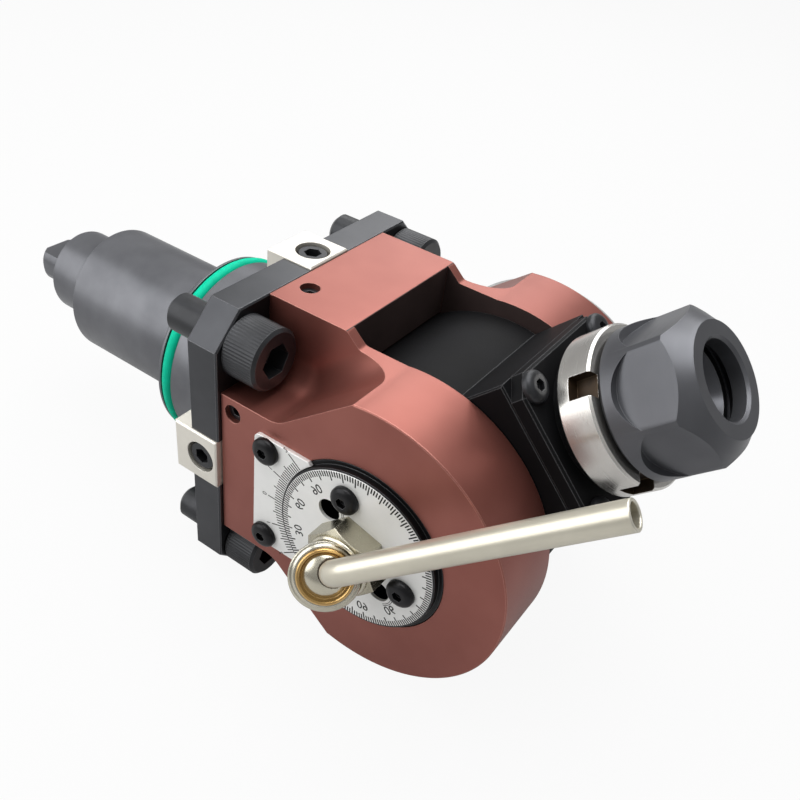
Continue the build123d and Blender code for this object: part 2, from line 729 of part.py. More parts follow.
def gear_cover():
    """The round cover over the bevel wheel, which also holds the shaft's outer bearing."""
    low = fork_half_width
    high = gear_cover_top
    body = rod(gear_cover_radius, low, high)
    body = chamfer(body.edges().sort_by(Axis.Z)[-1], 2.0)
    body -= rod(wheel_cavity_radius, low - 1, outer_bearing_seat)
    body -= rod(outer_bearing_diameter / 2, outer_bearing_seat - 1, outer_bearing_seat + outer_bearing_width)
    for place in gear_cover_screw_places():
        body -= place * rod(cover_screw_diameter / 2 + 0.2, low - 1, high + 1)
        body -= place * rod(0.9 * cover_screw_diameter, high - cover_screw_diameter - 0.4, high + 1)
    return PIVOT * body


def gear_cover_screws():
    """The six cap screws of the far cover."""
    seat = gear_cover_top - cover_screw_diameter - 0.4
    screw = socket_screw(cover_screw_diameter, seat - fork_half_width + 7)
    return [PIVOT * place * Pos(0, 0, seat) * screw for place in gear_cover_screw_places()]


def outer_pivot_bearing():
    """The bearing in the far cover that carries the pivot shaft's outer end."""
    inner = pivot_shaft_diameter / 2 + running_fit
    return PIVOT * bearing(outer_bearing_diameter / 2, inner, outer_bearing_seat,
                           outer_bearing_seat + outer_bearing_width)


# Swivel head

def nose_bore_steps():
    """The spindle bore's steps: gear room, rear bearing seat and front bearing seat."""
    return [(rear_bearing_diameter / 2 - 0.7, 2.0, rear_bearing_start),
            (rear_bearing_diameter / 2, rear_bearing_start, front_bearing_start),
            (front_bearing_diameter / 2, front_bearing_start, head_length + 1)]


def head_housing():
    """The black head: a drum between the cheeks with a square nose, bored for the spindle."""
    drum = PIVOT * rod(drum_radius, -head_half_width, head_half_width)
    nose = NOSE * block(-head_half_width, head_half_width, -block_half_height, block_half_height,
                        0, head_length)
    body = drum + nose
    body -= PIVOT * rod(gear_room_radius, -gear_room_near, gear_room_far)
    body -= PIVOT * rod(pivot_shaft_diameter / 2 + 0.5, gear_room_far - 1, head_half_width + 1)
    for radius, low, high in nose_bore_steps():
        body -= NOSE * rod(radius, low, high)
    near_end = -head_half_width + trunnion_screw_grip + 0.5
    for place in trunnion_screw_places():
        body -= place * rod(trunnion_screw_diameter / 2, -head_half_width - 1, near_end)
    far_end = head_half_width - far_trunnion_screw_grip - 0.2
    for place in far_trunnion_screw_places():
        body -= place * rod(far_trunnion_screw_diameter / 2, far_end, head_half_width + 1)
    spigot_end = -head_half_width + spigot_length + 0.2
    body -= PIVOT * rod(spigot_radius + bush_fit, -head_half_width - 1, spigot_end)
    cover_screw_end = head_length - front_cover_screw_grip - 0.3
    for sx, sy in corner_signs:
        body -= NOSE * rod(front_cover_screw_diameter / 2, cover_screw_end, head_length + 1,
                           sx * front_cover_screw_place, sy * front_cover_screw_place)
    return body


def trunnion_screw_places():
    """The dial trunnion's two screws, square to the spindle and either side of the pivot."""
    frame = Plane(origin=(pivot_x, 0, 0), x_dir=nose_direction, z_dir=(0, 1, 0)).location
    return [frame * Pos(0, side * trunnion_screw_circle, 0) for side in (-1, 1)]


def dial_screw_places():
    """The dial's three screws, one of them opposite the nose."""
    frame = Plane(origin=(pivot_x, 0, 0), x_dir=nose_direction, z_dir=(0, 1, 0)).location
    return [frame * Rot(0, 0, angle) * Pos(dial_screw_circle, 0, 0) for angle in (60, 180, 300)]


def dial_trunnion():
    """The dial side's trunnion, whose bevelled flange shows as the dark ring about the dial."""
    flange = dial_trunnion_flange_radius
    under = dial_face_y + dial_flange_thickness
    body = PIVOT * turned([
        (0, -head_half_width + spigot_length), (spigot_radius, -head_half_width + spigot_length),
        (spigot_radius, -head_half_width),
        (dial_trunnion_radius, -head_half_width), (dial_trunnion_radius, under), (flange, under),
        (flange, dial_face_y + 1.1), (flange - 1.1, dial_face_y), (dial_radius + 0.1, dial_face_y),
        (dial_radius + 0.1, dial_recess_y), (0, dial_recess_y)])
    for place in trunnion_screw_places():
        body -= place * rod(trunnion_screw_diameter / 2 + 0.2, under - 10, -head_half_width + 1)
        body -= place * rod(0.84 * trunnion_screw_diameter, dial_face_y - 1, under + trunnion_screw_sink)
    dial_screw_end = dial_recess_y + plate_screw_length + 0.5
    for place in dial_screw_places():
        body -= place * rod(dial_screw_diameter / 2, dial_recess_y - 1, dial_screw_end)
    body -= PIVOT * rod(nozzle_thread_diameter / 2, dial_face_y - 1, dial_recess_y + 8.5)
    return body


def dial_plate():
    """The graduated disc that turns with the head."""
    top = dial_recess_y - dial_thickness
    body = PIVOT * rod(dial_radius, top, dial_recess_y)
    body -= PIVOT * rod(nozzle_thread_diameter / 2 + 0.2, top - 1, dial_recess_y + 1)
    for place in trunnion_screw_places():
        body -= place * rod(trunnion_screw_hole / 2, top - 1, dial_recess_y + 1)
    for place in dial_screw_places():
        body -= place * rod(dial_screw_diameter / 2 + 0.2, top - 1, dial_recess_y + 1)
    return body


def dial_screws():
    """The button head screws that hold the dial to the trunnion."""
    screw = Rot(180, 0, 0) * button_screw(dial_screw_diameter, plate_screw_length)
    return [place * Pos(0, 0, dial_recess_y - dial_thickness) * screw for place in dial_screw_places()]


def trunnion_screws():
    """The screws deep in the dial's two holes, which pull the trunnion against the drum."""
    seat = dial_face_y + dial_flange_thickness + trunnion_screw_sink
    length = -head_half_width - seat + trunnion_screw_grip
    screw = Rot(180, 0, 0) * socket_screw(trunnion_screw_diameter, length)
    return [place * Pos(0, 0, seat) * screw for place in trunnion_screw_places()]


def far_trunnion_screw_places():
    """The far trunnion's four screws."""
    return [PIVOT * Rot(0, 0, angle) * Pos(far_trunnion_screw_circle, 0, 0) for angle in (45, 135, 225, 315)]


def far_trunnion():
    """The hollow trunnion in the far cheek, through which the pivot shaft passes."""
    low = head_half_width
    high = window_half_width + far_trunnion_length
    body = PIVOT * ring(far_trunnion_radius, pivot_shaft_diameter / 2 + 0.5, low, high)
    body -= PIVOT * rod(pivot_bearing_diameter / 2, high - pivot_bearing_width - 0.3, high + 1)
    for place in far_trunnion_screw_places():
        body -= place * rod(far_trunnion_screw_diameter / 2 + 0.1, low - 1, high + 1)
        body -= place * rod(0.85 * far_trunnion_screw_diameter, high - far_trunnion_screw_sink, high + 1)
    return body


def far_trunnion_screws():
    """The small cap screws that hold the far trunnion to the drum."""
    seat = window_half_width + far_trunnion_length - far_trunnion_screw_sink
    length = seat - head_half_width + far_trunnion_screw_grip
    screw = socket_screw(far_trunnion_screw_diameter, length, far_trunnion_screw_head)
    return [place * Pos(0, 0, seat) * screw for place in far_trunnion_screw_places()]


def inner_pivot_bearing():
    """The bearing in the far trunnion that carries the pivot shaft."""
    high = window_half_width + far_trunnion_length - 0.3
    return PIVOT * bearing(pivot_bearing_diameter / 2, pivot_shaft_diameter / 2 + running_fit,
                           high - pivot_bearing_width, high)


def front_cover():
    """The square cover with clipped corners that closes the head around the spindle."""
    body = block(-head_half_width, head_half_width, -block_half_height, block_half_height,
                 head_length, cover_face)
    body = chamfer(body.edges().filter_by(Axis.Z), front_cover_chamfer)
    body = chamfer(body.faces().sort_by(Axis.Z)[-1].edges(), 0.6)
    body += rod(front_bearing_diameter / 2 - 0.05, front_bearing_end, head_length)
    body -= rod(spindle_shoulder_diameter / 2 + 2.0, front_bearing_end - 1, cover_face + 1)
    for sx, sy in corner_signs:
        body -= rod(front_cover_screw_diameter / 2 + 0.2, head_length - 1, cover_face + 1,
                    sx * front_cover_screw_place, sy * front_cover_screw_place)
    return NOSE * body


def front_cover_screws():
    """The four button head screws of the front cover."""
    screw = button_screw(front_cover_screw_diameter, front_cover_thickness + front_cover_screw_grip)
    return [NOSE * Pos(sx * front_cover_screw_place, sy * front_cover_screw_place, cover_face) * screw
            for sx, sy in corner_signs]


def spindle_seal():
    """The seal between the front cover and the spindle."""
    inner = spindle_shoulder_diameter / 2
    return NOSE * ring(inner + 2.0, inner + 2 * running_fit, front_bearing_end + 0.4, cover_face - 0.2)


def front_spindle_bearings():
    """The pair of bearings behind the front cover."""
    outer = front_bearing_diameter / 2
    inner = front_journal_diameter / 2 + running_fit
    width = spindle_bearing_width
    return [NOSE * bearing(outer, inner, front_bearing_start + shift, front_bearing_start + shift + width)
            for shift in (0, width)]


def rear_spindle_bearing():
    """The bearing behind the nose's bevel gear."""
    return NOSE * bearing(rear_bearing_diameter / 2, rear_journal_diameter / 2 + running_fit,
                          rear_bearing_start, rear_bearing_start + spindle_bearing_width)


# Spindle group

def spindle():
    """The spindle with its taper for collets, thread and stepped journals."""
    gear_front = nose_gear_tip() + nose_gear_set_back
    tip_radius = pivot_shaft_tip_diameter / 2
    shoulder = front_bearing_end + moving_gap
    mouth = collet_mouth_diameter / 2
    taper_end = spindle_nose_end - collet_taper_length
    taper_small = mouth - collet_taper_length * tan(radians(collet_taper))
    thread = spindle_thread_diameter / 2
    body = turned([
        (0, gear_front), (tip_radius, gear_front), (tip_radius, rear_bearing_start - 0.5),
        (rear_journal_diameter / 2, rear_bearing_start - 0.5),
        (rear_journal_diameter / 2, front_bearing_start - 0.5),
        (front_journal_diameter / 2, front_bearing_start - 0.5), (front_journal_diameter / 2, shoulder),
        (spindle_shoulder_diameter / 2, shoulder), (spindle_shoulder_diameter / 2, wrench_ring_end),
        (thread, wrench_ring_end), (thread, spindle_nose_end - 1), (thread - 1, spindle_nose_end),
        (mouth, spindle_nose_end), (taper_small, taper_end), (draw_hole_diameter / 2, taper_end - 3),
        (draw_hole_diameter / 2, rear_bearing_start + 2), (0, rear_bearing_start + 2)])
    return NOSE * body


def wrench_ring():
    """The bright ring with four slots, by which the spindle is held while the nut is turned."""
    body = ring(wrench_ring_radius, spindle_shoulder_diameter / 2, wrench_ring_start, wrench_ring_end)
    body = chamfer(body.edges().filter_by(GeomType.CIRCLE).group_by(SortBy.RADIUS)[-1], 0.5)
    for quarter in range(4):
        slot = block(15.4, 30, -wrench_slot_width / 2, wrench_slot_width / 2,
                     wrench_ring_end - wrench_slot_depth, wrench_ring_end + 1)
        body -= Rot(0, 0, wrench_slot_angle + 90 * quarter) * slot
    return NOSE * body


def nose_bevel_gear():
    """The spindle's bevel gear, drawn back along the spindle so that the head can swivel alone."""
    gear = bevel_gear(nose_gear_teeth, nose_gear_teeth, nose_module, bevel_face,
                      pivot_shaft_tip_diameter, nose_gear_hub, nose_gear_hub_radius, False)
    return NOSE * Pos(0, 0, nose_gear_set_back) * gear


def collet_nut():
    """The collet nut: a round base, six milled flats with round ends and a conical front."""
    outer = nut_diameter / 2
    hole = nut_hole_diameter / 2
    thread = spindle_thread_diameter / 2 + bush_fit
    body = turned([
        (thread, nut_start), (outer - 1.0, nut_start), (outer, nut_start + 1.0), (outer, nut_end - 4.2),
        (outer - 4.0, nut_end - 0.8), (outer - 4.6, nut_end), (hole + 0.6, nut_end), (hole, nut_end - 0.6),
        (hole, nut_end - 3.6), (hole + 2.6, nut_end - 5.6), (hole + 2.6, spindle_nose_end + 0.4),
        (thread, spindle_nose_end + 0.4)])
    flat = nut_across_flats / 2
    centre = nut_flat_start + nut_flat_runout_radius
    half = nut_flat_runout_radius
    for side in range(6):
        cutter = Plane(origin=(0, flat, centre), x_dir=(1, 0, 0), z_dir=(0, 1, 0)).location * rod(half, 0, 10)
        cutter += block(-half, half, flat, flat + 10, centre, nut_end + 5)
        body -= Rot(0, 0, 60 * side) * cutter
    return NOSE * body


def nut_extraction_ring():
    """The bright taper ring in the nut that pushes the collet home and pulls it out."""
    outer = nut_hole_diameter / 2 + 2.6 - bush_fit
    return NOSE * turned([(outer, nut_end - 5.9), (outer - 1.9, nut_end - 5.9), (outer - 3.5, nut_end - 8.6),
                          (outer - 1.2, nut_end - 9.0), (outer, nut_end - 9.0)])


# Coolant nozzle

def coolant_fitting():
    """The hexagon fitting screwed into the dial's centre, with the ball's socket."""
    low = fitting_seat_y - nozzle_hex_height
    end = low - nozzle_neck_height
    hexa = Rot(0, 0, 15) * hexagon(nozzle_hex, low, fitting_seat_y)
    cone = turned([(0, low - 1), (nozzle_hex / 2 - 0.2, low - 1), (nozzle_hex / 2 + 2.6, low + 1.6),
                   (nozzle_hex / 2 + 2.6, fitting_seat_y + 1), (0, fitting_seat_y + 1)])
    body = (hexa & cone) + rod(nozzle_neck_radius, end, low)
    body += rod(nozzle_thread_diameter / 2, fitting_seat_y, dial_recess_y + 8.0)
    body -= Pos(0, 0, ball_place()) * Sphere(nozzle_ball_radius + nozzle_ball_fit)
    body -= rod(2.0, end, dial_recess_y + 9)
    return PIVOT * body


def nozzle_front():
    """The place along Y of the nozzle nut's front face."""
    return fitting_seat_y - nozzle_height


def ball_place():
    """The place along Y of the nozzle ball's centre."""
    return fitting_seat_y - nozzle_ball_drop


def nozzle_clamp_nut():
    """The round nut that clamps the ball through the brass ring."""
    low = nozzle_front()
    high = low + nozzle_nut_height
    outer = nozzle_nut_radius
    return PIVOT * turned([
        (nozzle_neck_radius, low), (outer - 1.6, low), (outer - 0.4, low + 0.5), (outer, low + 1.3),
        (outer, high - 1.2), (outer - 0.8, high), (nozzle_neck_radius, high)])


def nozzle_brass_ring():
    """The brass ring that holds the ball in its socket, with a flared mouth."""
    low = nozzle_front() - nozzle_ring_stand_out
    high = fitting_seat_y - nozzle_hex_height - nozzle_neck_height
    waist = low + nozzle_ring_flare
    seat = nozzle_ball_radius + nozzle_ball_fit
    waist_radius = sqrt(seat ** 2 - (waist - ball_place()) ** 2)
    outer = nozzle_neck_radius
    return PIVOT * turned([(seat, high), (outer, high), (outer, low + 0.4), (outer - 0.4, low),
                           (waist_radius + 0.7, low), (waist_radius, waist)])


def coolant_ball():
    """The swivelling ball of the nozzle, drilled from behind to meet the tube."""
    ball = Sphere(nozzle_ball_radius) - rod(tube_radius - tube_wall, 0, 2 * nozzle_ball_radius)
    return PIVOT * Pos(0, 0, ball_place()) * ball - tube_seat_frame() * rod(tube_radius, 0, 20)


def tube_point(reach, side, rise):
    """A point along the nose, square to it and outwards, counted from the ball's centre."""
    return (NOSE * Pos(ball_place() - rise, side, reach)).position


def tube_seat_frame():
    """The frame at the tube's end in the ball, with local Z along the tube."""
    centre = tube_point(0, 0, 0)
    along = (tube_point(*tube_corner) - centre).normalized()
    return Plane(origin=centre + along * tube_seat, z_dir=along).location


def coolant_tube():
    """The open tube that rises from the ball and bends over towards the tool."""
    seat = tube_seat_frame()
    path = FilletPolyline(seat.position, tube_point(*tube_corner), tube_point(*tube_end),
                          radius=tube_bend_radius)
    section = Circle(tube_radius) - Circle(tube_radius - tube_wall)
    return sweep(seat * section, path=path)


nodes = {
    "shank_flange": shank_flange, "pilot_o_ring": pilot_o_ring, "locating_keys": locating_keys,
    "key_screws": key_screws, "mounting_bolts": mounting_bolts, "fork_screws": fork_screws,
    "fork_housing": fork_housing, "set_screws": set_screws, "pivot_bushes": pivot_bushes,
    "vernier_plate": vernier_plate, "vernier_screws": vernier_screws, "gear_cover": gear_cover,
    "gear_cover_screws": gear_cover_screws, "outer_pivot_bearing": outer_pivot_bearing,
    "front_drive_bearings": front_drive_bearings, "drive_bearing_spacer": drive_bearing_spacer,
    "rear_drive_bearing": rear_drive_bearing, "bearing_ring_nut": bearing_ring_nut, "shank_seal": shank_seal,
    "layshaft_bearings": layshaft_bearings, "drive_shaft": drive_shaft, "drive_gear": drive_gear,
    "drive_gear_key": drive_gear_key, "layshaft": layshaft, "layshaft_gear": layshaft_gear,
    "bevel_pinion": bevel_pinion, "pivot_shaft": pivot_shaft, "bevel_wheel": bevel_wheel,
    "pivot_bevel_gear": pivot_bevel_gear, "pivot_circlip": pivot_circlip, "head_housing": head_housing,
    "dial_trunnion": dial_trunnion, "trunnion_screws": trunnion_screws, "dial_plate": dial_plate,
    "dial_screws": dial_screws, "far_trunnion": far_trunnion, "far_trunnion_screws": far_trunnion_screws,
    "inner_pivot_bearing": inner_pivot_bearing, "front_cover": front_cover,
    "front_cover_screws": front_cover_screws, "spindle_seal": spindle_seal,
    "front_spindle_bearings": front_spindle_bearings, "rear_spindle_bearing": rear_spindle_bearing,
    "spindle": spindle, "wrench_ring": wrench_ring, "nose_bevel_gear": nose_bevel_gear,
    "collet_nut": collet_nut, "nut_extraction_ring": nut_extraction_ring, "coolant_fitting": coolant_fitting,
    "nozzle_clamp_nut": nozzle_clamp_nut, "nozzle_brass_ring": nozzle_brass_ring,
    "coolant_ball": coolant_ball, "coolant_tube": coolant_tube,
}

os.makedirs("parts", exist_ok=True)
for name, make in nodes.items():
    shape = make()
    if isinstance(shape, list):
        shape = Compound(children=shape)
    export_step(shape, f"parts/{name}.step")
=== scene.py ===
"""The looks of an adjustable live tool holder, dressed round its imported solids.

Sizes are in millimetres in the part's own frame: X along the shank towards the nose, Y along the
pivot axis away from the dial, Z up. Meshes are written in metres, with every object at the origin.
"""

from __future__ import annotations

import json
import logging
import math
from dataclasses import dataclass
from enum import Enum

import bmesh
import bpy
import numpy as np
from mathutils import Matrix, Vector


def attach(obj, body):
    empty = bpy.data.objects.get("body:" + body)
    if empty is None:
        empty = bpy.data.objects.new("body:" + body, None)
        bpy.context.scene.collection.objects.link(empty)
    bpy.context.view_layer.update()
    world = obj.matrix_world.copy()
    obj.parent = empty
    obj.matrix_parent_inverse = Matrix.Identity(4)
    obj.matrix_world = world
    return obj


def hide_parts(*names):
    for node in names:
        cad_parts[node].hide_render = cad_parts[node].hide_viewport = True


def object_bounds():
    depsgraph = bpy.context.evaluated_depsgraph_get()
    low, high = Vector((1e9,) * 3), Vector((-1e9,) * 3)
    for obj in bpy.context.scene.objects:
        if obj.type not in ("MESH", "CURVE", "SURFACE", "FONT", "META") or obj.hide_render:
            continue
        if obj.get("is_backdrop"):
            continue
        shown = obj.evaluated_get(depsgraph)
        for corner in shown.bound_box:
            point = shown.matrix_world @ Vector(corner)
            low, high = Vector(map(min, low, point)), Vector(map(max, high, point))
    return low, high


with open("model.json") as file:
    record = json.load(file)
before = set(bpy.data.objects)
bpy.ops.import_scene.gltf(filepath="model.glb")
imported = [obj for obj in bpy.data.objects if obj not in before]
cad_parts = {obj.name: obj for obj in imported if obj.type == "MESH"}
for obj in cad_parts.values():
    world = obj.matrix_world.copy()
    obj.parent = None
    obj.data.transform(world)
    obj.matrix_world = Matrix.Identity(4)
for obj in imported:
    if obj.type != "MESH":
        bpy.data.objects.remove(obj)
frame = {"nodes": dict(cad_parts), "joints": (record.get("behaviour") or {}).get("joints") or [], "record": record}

LOG = logging.getLogger("live_tool_holder")
MM = 0.001
MERGE_DISTANCE = 2e-7  # metres
# Steps round a circle, more where it shows larger
TINY_STEPS, SMALL_STEPS, MIDDLE_STEPS, LARGE_STEPS = 32, 48, 64, 96
ROUND_STEPS, RIM_STEPS, NUT_STEPS = 128, 160, 192
SPARE = 1.0  # a cutting tool passes the face that it cuts by this much or by a multiple of it
HAIR = 0.001  # keeps two faces out of one plane
OVERLAP = 0.5  # how far one bore reaches into the next


# Places and outlines


@dataclass(frozen=True)
class Place:
    """A local frame: across and up span a plane, and along is its normal."""

    origin: tuple[float, float, float]
    across: tuple[float, float, float]
    along: tuple[float, float, float]

    @property
    def up(self) -> np.ndarray:
        """The third direction, square to the other two."""
        return np.cross(self.along, self.across)

    def world(self, points: np.ndarray) -> np.ndarray:
        """Local points in metres: origin + a across + b up + c along."""
        basis = np.stack([np.asarray(self.across), self.up, np.asarray(self.along)])
        return (np.asarray(self.origin) + np.asarray(points, float) @ basis) * MM

    def at(self, a: float = 0.0, b: float = 0.0, c: float = 0.0) -> Place:
        """The same directions from another origin, given in local millimetres."""
        return Place(tuple(self.world(np.array([a, b, c])) / MM), self.across, self.along)

    def turned(self, degrees: float) -> Place:
        """The frame turned about its own normal.

        Args:
            degrees: The turn from across towards up.

        Returns:
            The turned frame.
        """
        angle = math.radians(degrees)
        across = np.asarray(self.across) * math.cos(angle) + self.up * math.sin(angle)
        return Place(self.origin, tuple(across), self.along)

    def flipped(self) -> Place:
        """The frame looking the other way along its normal."""
        return Place(self.origin, self.across, tuple(-np.asarray(self.along)))


def joint(name: str) -> dict:
    """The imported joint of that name."""
    return next(entry for entry in frame["joints"] if entry["name"] == name)


PIVOT_POINT = tuple(np.asarray(joint("swivel")["pos_m"]) / MM)
NOSE_AXIS = tuple(joint("spindle_spin")["axis"])
NOSE_DEGREES = math.degrees(math.atan2(NOSE_AXIS[2], NOSE_AXIS[0]))
SHANK = Place((0.0, 0.0, 0.0), (0.0, 1.0, 0.0), (1.0, 0.0, 0.0))
PIVOT = Place(PIVOT_POINT, (0.0, 0.0, 1.0), (0.0, 1.0, 0.0))
SIDE = Place((0.0, 0.0, 0.0), (1.0, 0.0, 0.0), (0.0, -1.0, 0.0))
DIAL_SIDE = Place(PIVOT_POINT, (1.0, 0.0, 0.0), (0.0, -1.0, 0.0))
NOSE = Place(PIVOT_POINT, (0.0, 1.0, 0.0), NOSE_AXIS)
CORNERS = [(a, b) for a in (-1, 1) for b in (-1, 1)]


def unit(vector: np.ndarray) -> np.ndarray:
    """The vector at length one."""
    return vector / np.linalg.norm(vector)


def arc(centre: tuple[float, float], radius: float, start: float, end: float,
        steps: int = 24) -> np.ndarray:
    """Points of a circular arc: centre + radius (cos t, sin t), with t even over the degrees."""
    angles = np.radians(np.linspace(start, end, steps + 1))
    return np.asarray(centre) + radius * np.stack([np.cos(angles), np.sin(angles)], axis=1)


def circle(radius: float, centre: tuple[float, float] = (0.0, 0.0),
           steps: int = ROUND_STEPS) -> np.ndarray:
    """A closed circle without its repeated last point."""
    return arc(centre, radius, 0.0, 360.0, steps)[:-1]


def hexagon(across_flats: float) -> np.ndarray:
    """A regular hexagon by its width across flats, with a corner on the first axis."""
    return circle(across_flats / 2 / math.cos(math.pi / 6), steps=6)


def rectangle(low: tuple[float, float], high: tuple[float, float],
              clip: float = 0.0) -> np.ndarray:
    """A rectangle, with its corners cut off where a clip is given.

    Args:
        low: The corner with the lower coordinates.
        high: The corner with the higher ones.
        clip: How much each side loses at a corner.

    Returns:
        The outline's points, anticlockwise.
    """
    (x0, y0), (x1, y1) = low, high
    if clip == 0.0:
        return np.array([(x0, y0), (x1, y0), (x1, y1), (x0, y1)])
    return np.array([(x0 + clip, y0), (x1 - clip, y0), (x1, y0 + clip), (x1, y1 - clip),
                     (x1 - clip, y1), (x0 + clip, y1), (x0, y1 - clip), (x0, y0 + clip)])


# Meshes


def linked(name: str, data: bpy.types.ID) -> bpy.types.Object:
    """A new object in the scene that holds the data.

    Args:
        name: The object's name.
        data: A mesh, curve, camera or lamp.

    Returns:
        The object, at the origin.
    """
    made = bpy.data.objects.new(name, data)
    bpy.context.scene.collection.objects.link(made)
    return made


def mesh_object(name: str, points: np.ndarray, faces: list[tuple[int, ...]]) -> bpy.types.Object:
    """A new mesh object at the origin.

    Args:
        name: The piece's name.
        points: The points in metres.
        faces: The faces as rows of point numbers.

    Returns:
        The object.
    """
    mesh = bpy.data.meshes.new(name)
    mesh.from_pydata(points.tolist(), [], faces)
    return linked(name, mesh)


def clean(piece: bpy.types.Object) -> bpy.types.Object:
    """Merges doubled points, which closes seams and poles, and turns the faces outwards.

    Args:
        piece: The piece to clean.

    Returns:
        The same piece.
    """
    work = bmesh.new()
    work.from_mesh(piece.data)
    bmesh.ops.remove_doubles(work, verts=work.verts, dist=MERGE_DISTANCE)
    bmesh.ops.recalc_face_normals(work, faces=work.faces)
    work.to_mesh(piece.data)
    work.free()
    return piece


def grid_faces(rows: int, columns: int) -> list[tuple[int, ...]]:
    """Quads between the rows of a grid whose columns close on themselves.

    Args:
        rows: The number of rows.
        columns: The number of points in a row.

    Returns:
        One quad for each point of every row but the last.
    """
    row, column = np.meshgrid(np.arange(rows - 1), np.arange(columns), indexing="ij")
    after = (column + 1) % columns
    quads = np.stack([row * columns + column, row * columns + after,
                      (row + 1) * columns + after, (row + 1) * columns + column], axis=-1)
    return [tuple(quad) for quad in quads.reshape(-1, 4).tolist()]


def loft(name: str, sections: np.ndarray) -> bpy.types.Object:
    """A closed solid through equal sections: a grid of section by point, capped at both ends.

    Args:
        name: The piece's name.
        sections: World points in metres, as sections by points by 3.

    Returns:
        The piece.
    """
    rows, columns = sections.shape[:2]
    faces = grid_faces(rows, columns)
    faces.append(tuple(range(columns))[::-1])
    faces.append(tuple(range((rows - 1) * columns, rows * columns)))
    return clean(mesh_object(name, sections.reshape(-1, 3), faces))


def inset(outline: np.ndarray, distance: float) -> np.ndarray:
    """The outline moved inwards: each corner goes along the sum of its sides' normals, mitred.

    Args:
        outline: A closed outline.
        distance: How far each side moves.

    Returns:
        The smaller outline, point for point.
    """
    before = outline - np.roll(outline, 1, axis=0)
    after = np.roll(outline, -1, axis=0) - outline
    normals = [np.stack([-side[:, 1], side[:, 0]], axis=1)
               / np.linalg.norm(side, axis=1, keepdims=True) for side in (before, after)]
    total = normals[0] + normals[1]
    scale = 2.0 / np.sum(total * total, axis=1, keepdims=True)
    area = 0.5 * np.sum(outline[:, 0] * np.roll(outline[:, 1], -1)
                        - outline[:, 1] * np.roll(outline[:, 0], -1))
    return outline + math.copysign(distance, area) * total * scale


def bar(name: str, place: Place, outline: np.ndarray, low: float, high: float,
        edge: float = 0.0, back_edge: float = 0.0) -> bpy.types.Object:
    """An outline drawn out along the place's normal, with chamfers at its ends.

    Args:
        name: The piece's name.
        place: The local frame.
        outline: Closed outline in the plane of the frame.
        low: Start along the normal.
        high: End along the normal.
        edge: Chamfer at the high end.
        back_edge: Chamfer at the low end.

    Returns:
        The piece.
    """
    levels = [(low, back_edge)] if back_edge else []
    levels += [(low + back_edge, 0.0), (high - edge, 0.0)]
    levels += [(high, edge)] if edge else []
    sections = [np.column_stack([inset(outline, cut_in) if cut_in else outline,
                                 np.full(len(outline), level)]) for level, cut_in in levels]
    return loft(name, place.world(np.array(sections)))


def turned(name: str, place: Place, profile: list[tuple[float, float]],
           steps: int = ROUND_STEPS) -> bpy.types.Object:
    """A closed profile carried round the place's normal: (r cos t, r sin t, h).

    Args:
        name: The piece's name.
        place: The local frame.
        profile: The profile's points as radius and height.
        steps: The number of steps round.

    Returns:
        The piece.
    """
    outline = np.asarray(profile, float)
    angles = np.linspace(0.0, 2 * math.pi, steps, endpoint=False)
    radius, height = outline[:, 0][:, None], outline[:, 1][:, None]
    points = np.stack([radius * np.cos(angles), radius * np.sin(angles), height + 0.0 * angles],
                      axis=-1)
    closed = np.concatenate([points, points[:1]])
    rings = grid_faces(len(closed), steps)
    return clean(mesh_object(name, place.world(closed).reshape(-1, 3), rings))


def applied(piece: bpy.types.Object) -> bpy.types.Object:
    """The piece with its modifiers worked into its mesh.

    Args:
        piece: The piece.

    Returns:
        The same piece, without modifiers.
    """
    graph = bpy.context.evaluated_depsgraph_get()
    mesh = bpy.data.meshes.new_from_object(piece.evaluated_get(graph))
    piece.modifiers.clear()
    piece.data = mesh
    return piece


def combine(piece: bpy.types.Object, tools: list[bpy.types.Object],
            operation: str) -> bpy.types.Object:
    """Works the tools into the piece one by one, and removes them.

    Args:
        piece: The piece that stays.
        tools: The pieces that shape it.
        operation: The Boolean modifier's operation.

    Returns:
        The same piece.
    """
    for tool in tools:
        change = piece.modifiers.new(operation, "BOOLEAN")
        change.operation = operation
        change.solver = "EXACT"
        change.object = tool
        applied(piece)
        bpy.data.objects.remove(tool)
    return piece


def cut(piece: bpy.types.Object, *tools: bpy.types.Object) -> bpy.types.Object:
    """The piece without the tools' space."""
    return combine(piece, list(tools), "DIFFERENCE")


def joined(name: str, pieces: list[bpy.types.Object]) -> bpy.types.Object:
    """One object that holds the meshes of several.

    Args:
        name: The new piece's name.
        pieces: The pieces that go into it and are removed.

    Returns:
        The new piece.
    """
    work = bmesh.new()
    for piece in pieces:
        work.from_mesh(piece.data)
    mesh = bpy.data.meshes.new(name)
    work.to_mesh(mesh)
    work.free()
    made = linked(name, mesh)
    for piece in pieces:
        bpy.data.objects.remove(piece)
    return made


def middles(piece: bpy.types.Object) -> np.ndarray:
    """The middle of each face of a piece.

    Args:
        piece: The piece.

    Returns:
        One row of three millimetres in the part's frame for each face.
    """
    flat = np.zeros(len(piece.data.polygons) * 3)
    piece.data.polygons.foreach_get("center", flat)
    return flat.reshape(-1, 3) / MM


def smooth(piece: bpy.types.Object, sharp_degrees: float = 28.0) -> bpy.types.Object:
    """Shades the piece smoothly except across edges sharper than the angle.

    Args:
        piece: The piece.
        sharp_degrees: The angle between faces from which an edge stays sharp.

    Returns:
        The same piece.
    """
    count = len(piece.data.polygons)
    piece.data.polygons.foreach_set("use_smooth", np.ones(count, bool))
    piece.data.set_sharp_from_angle(angle=math.radians(sharp_degrees))
    return piece


# Materials

Colour = tuple[float, float, float, float]

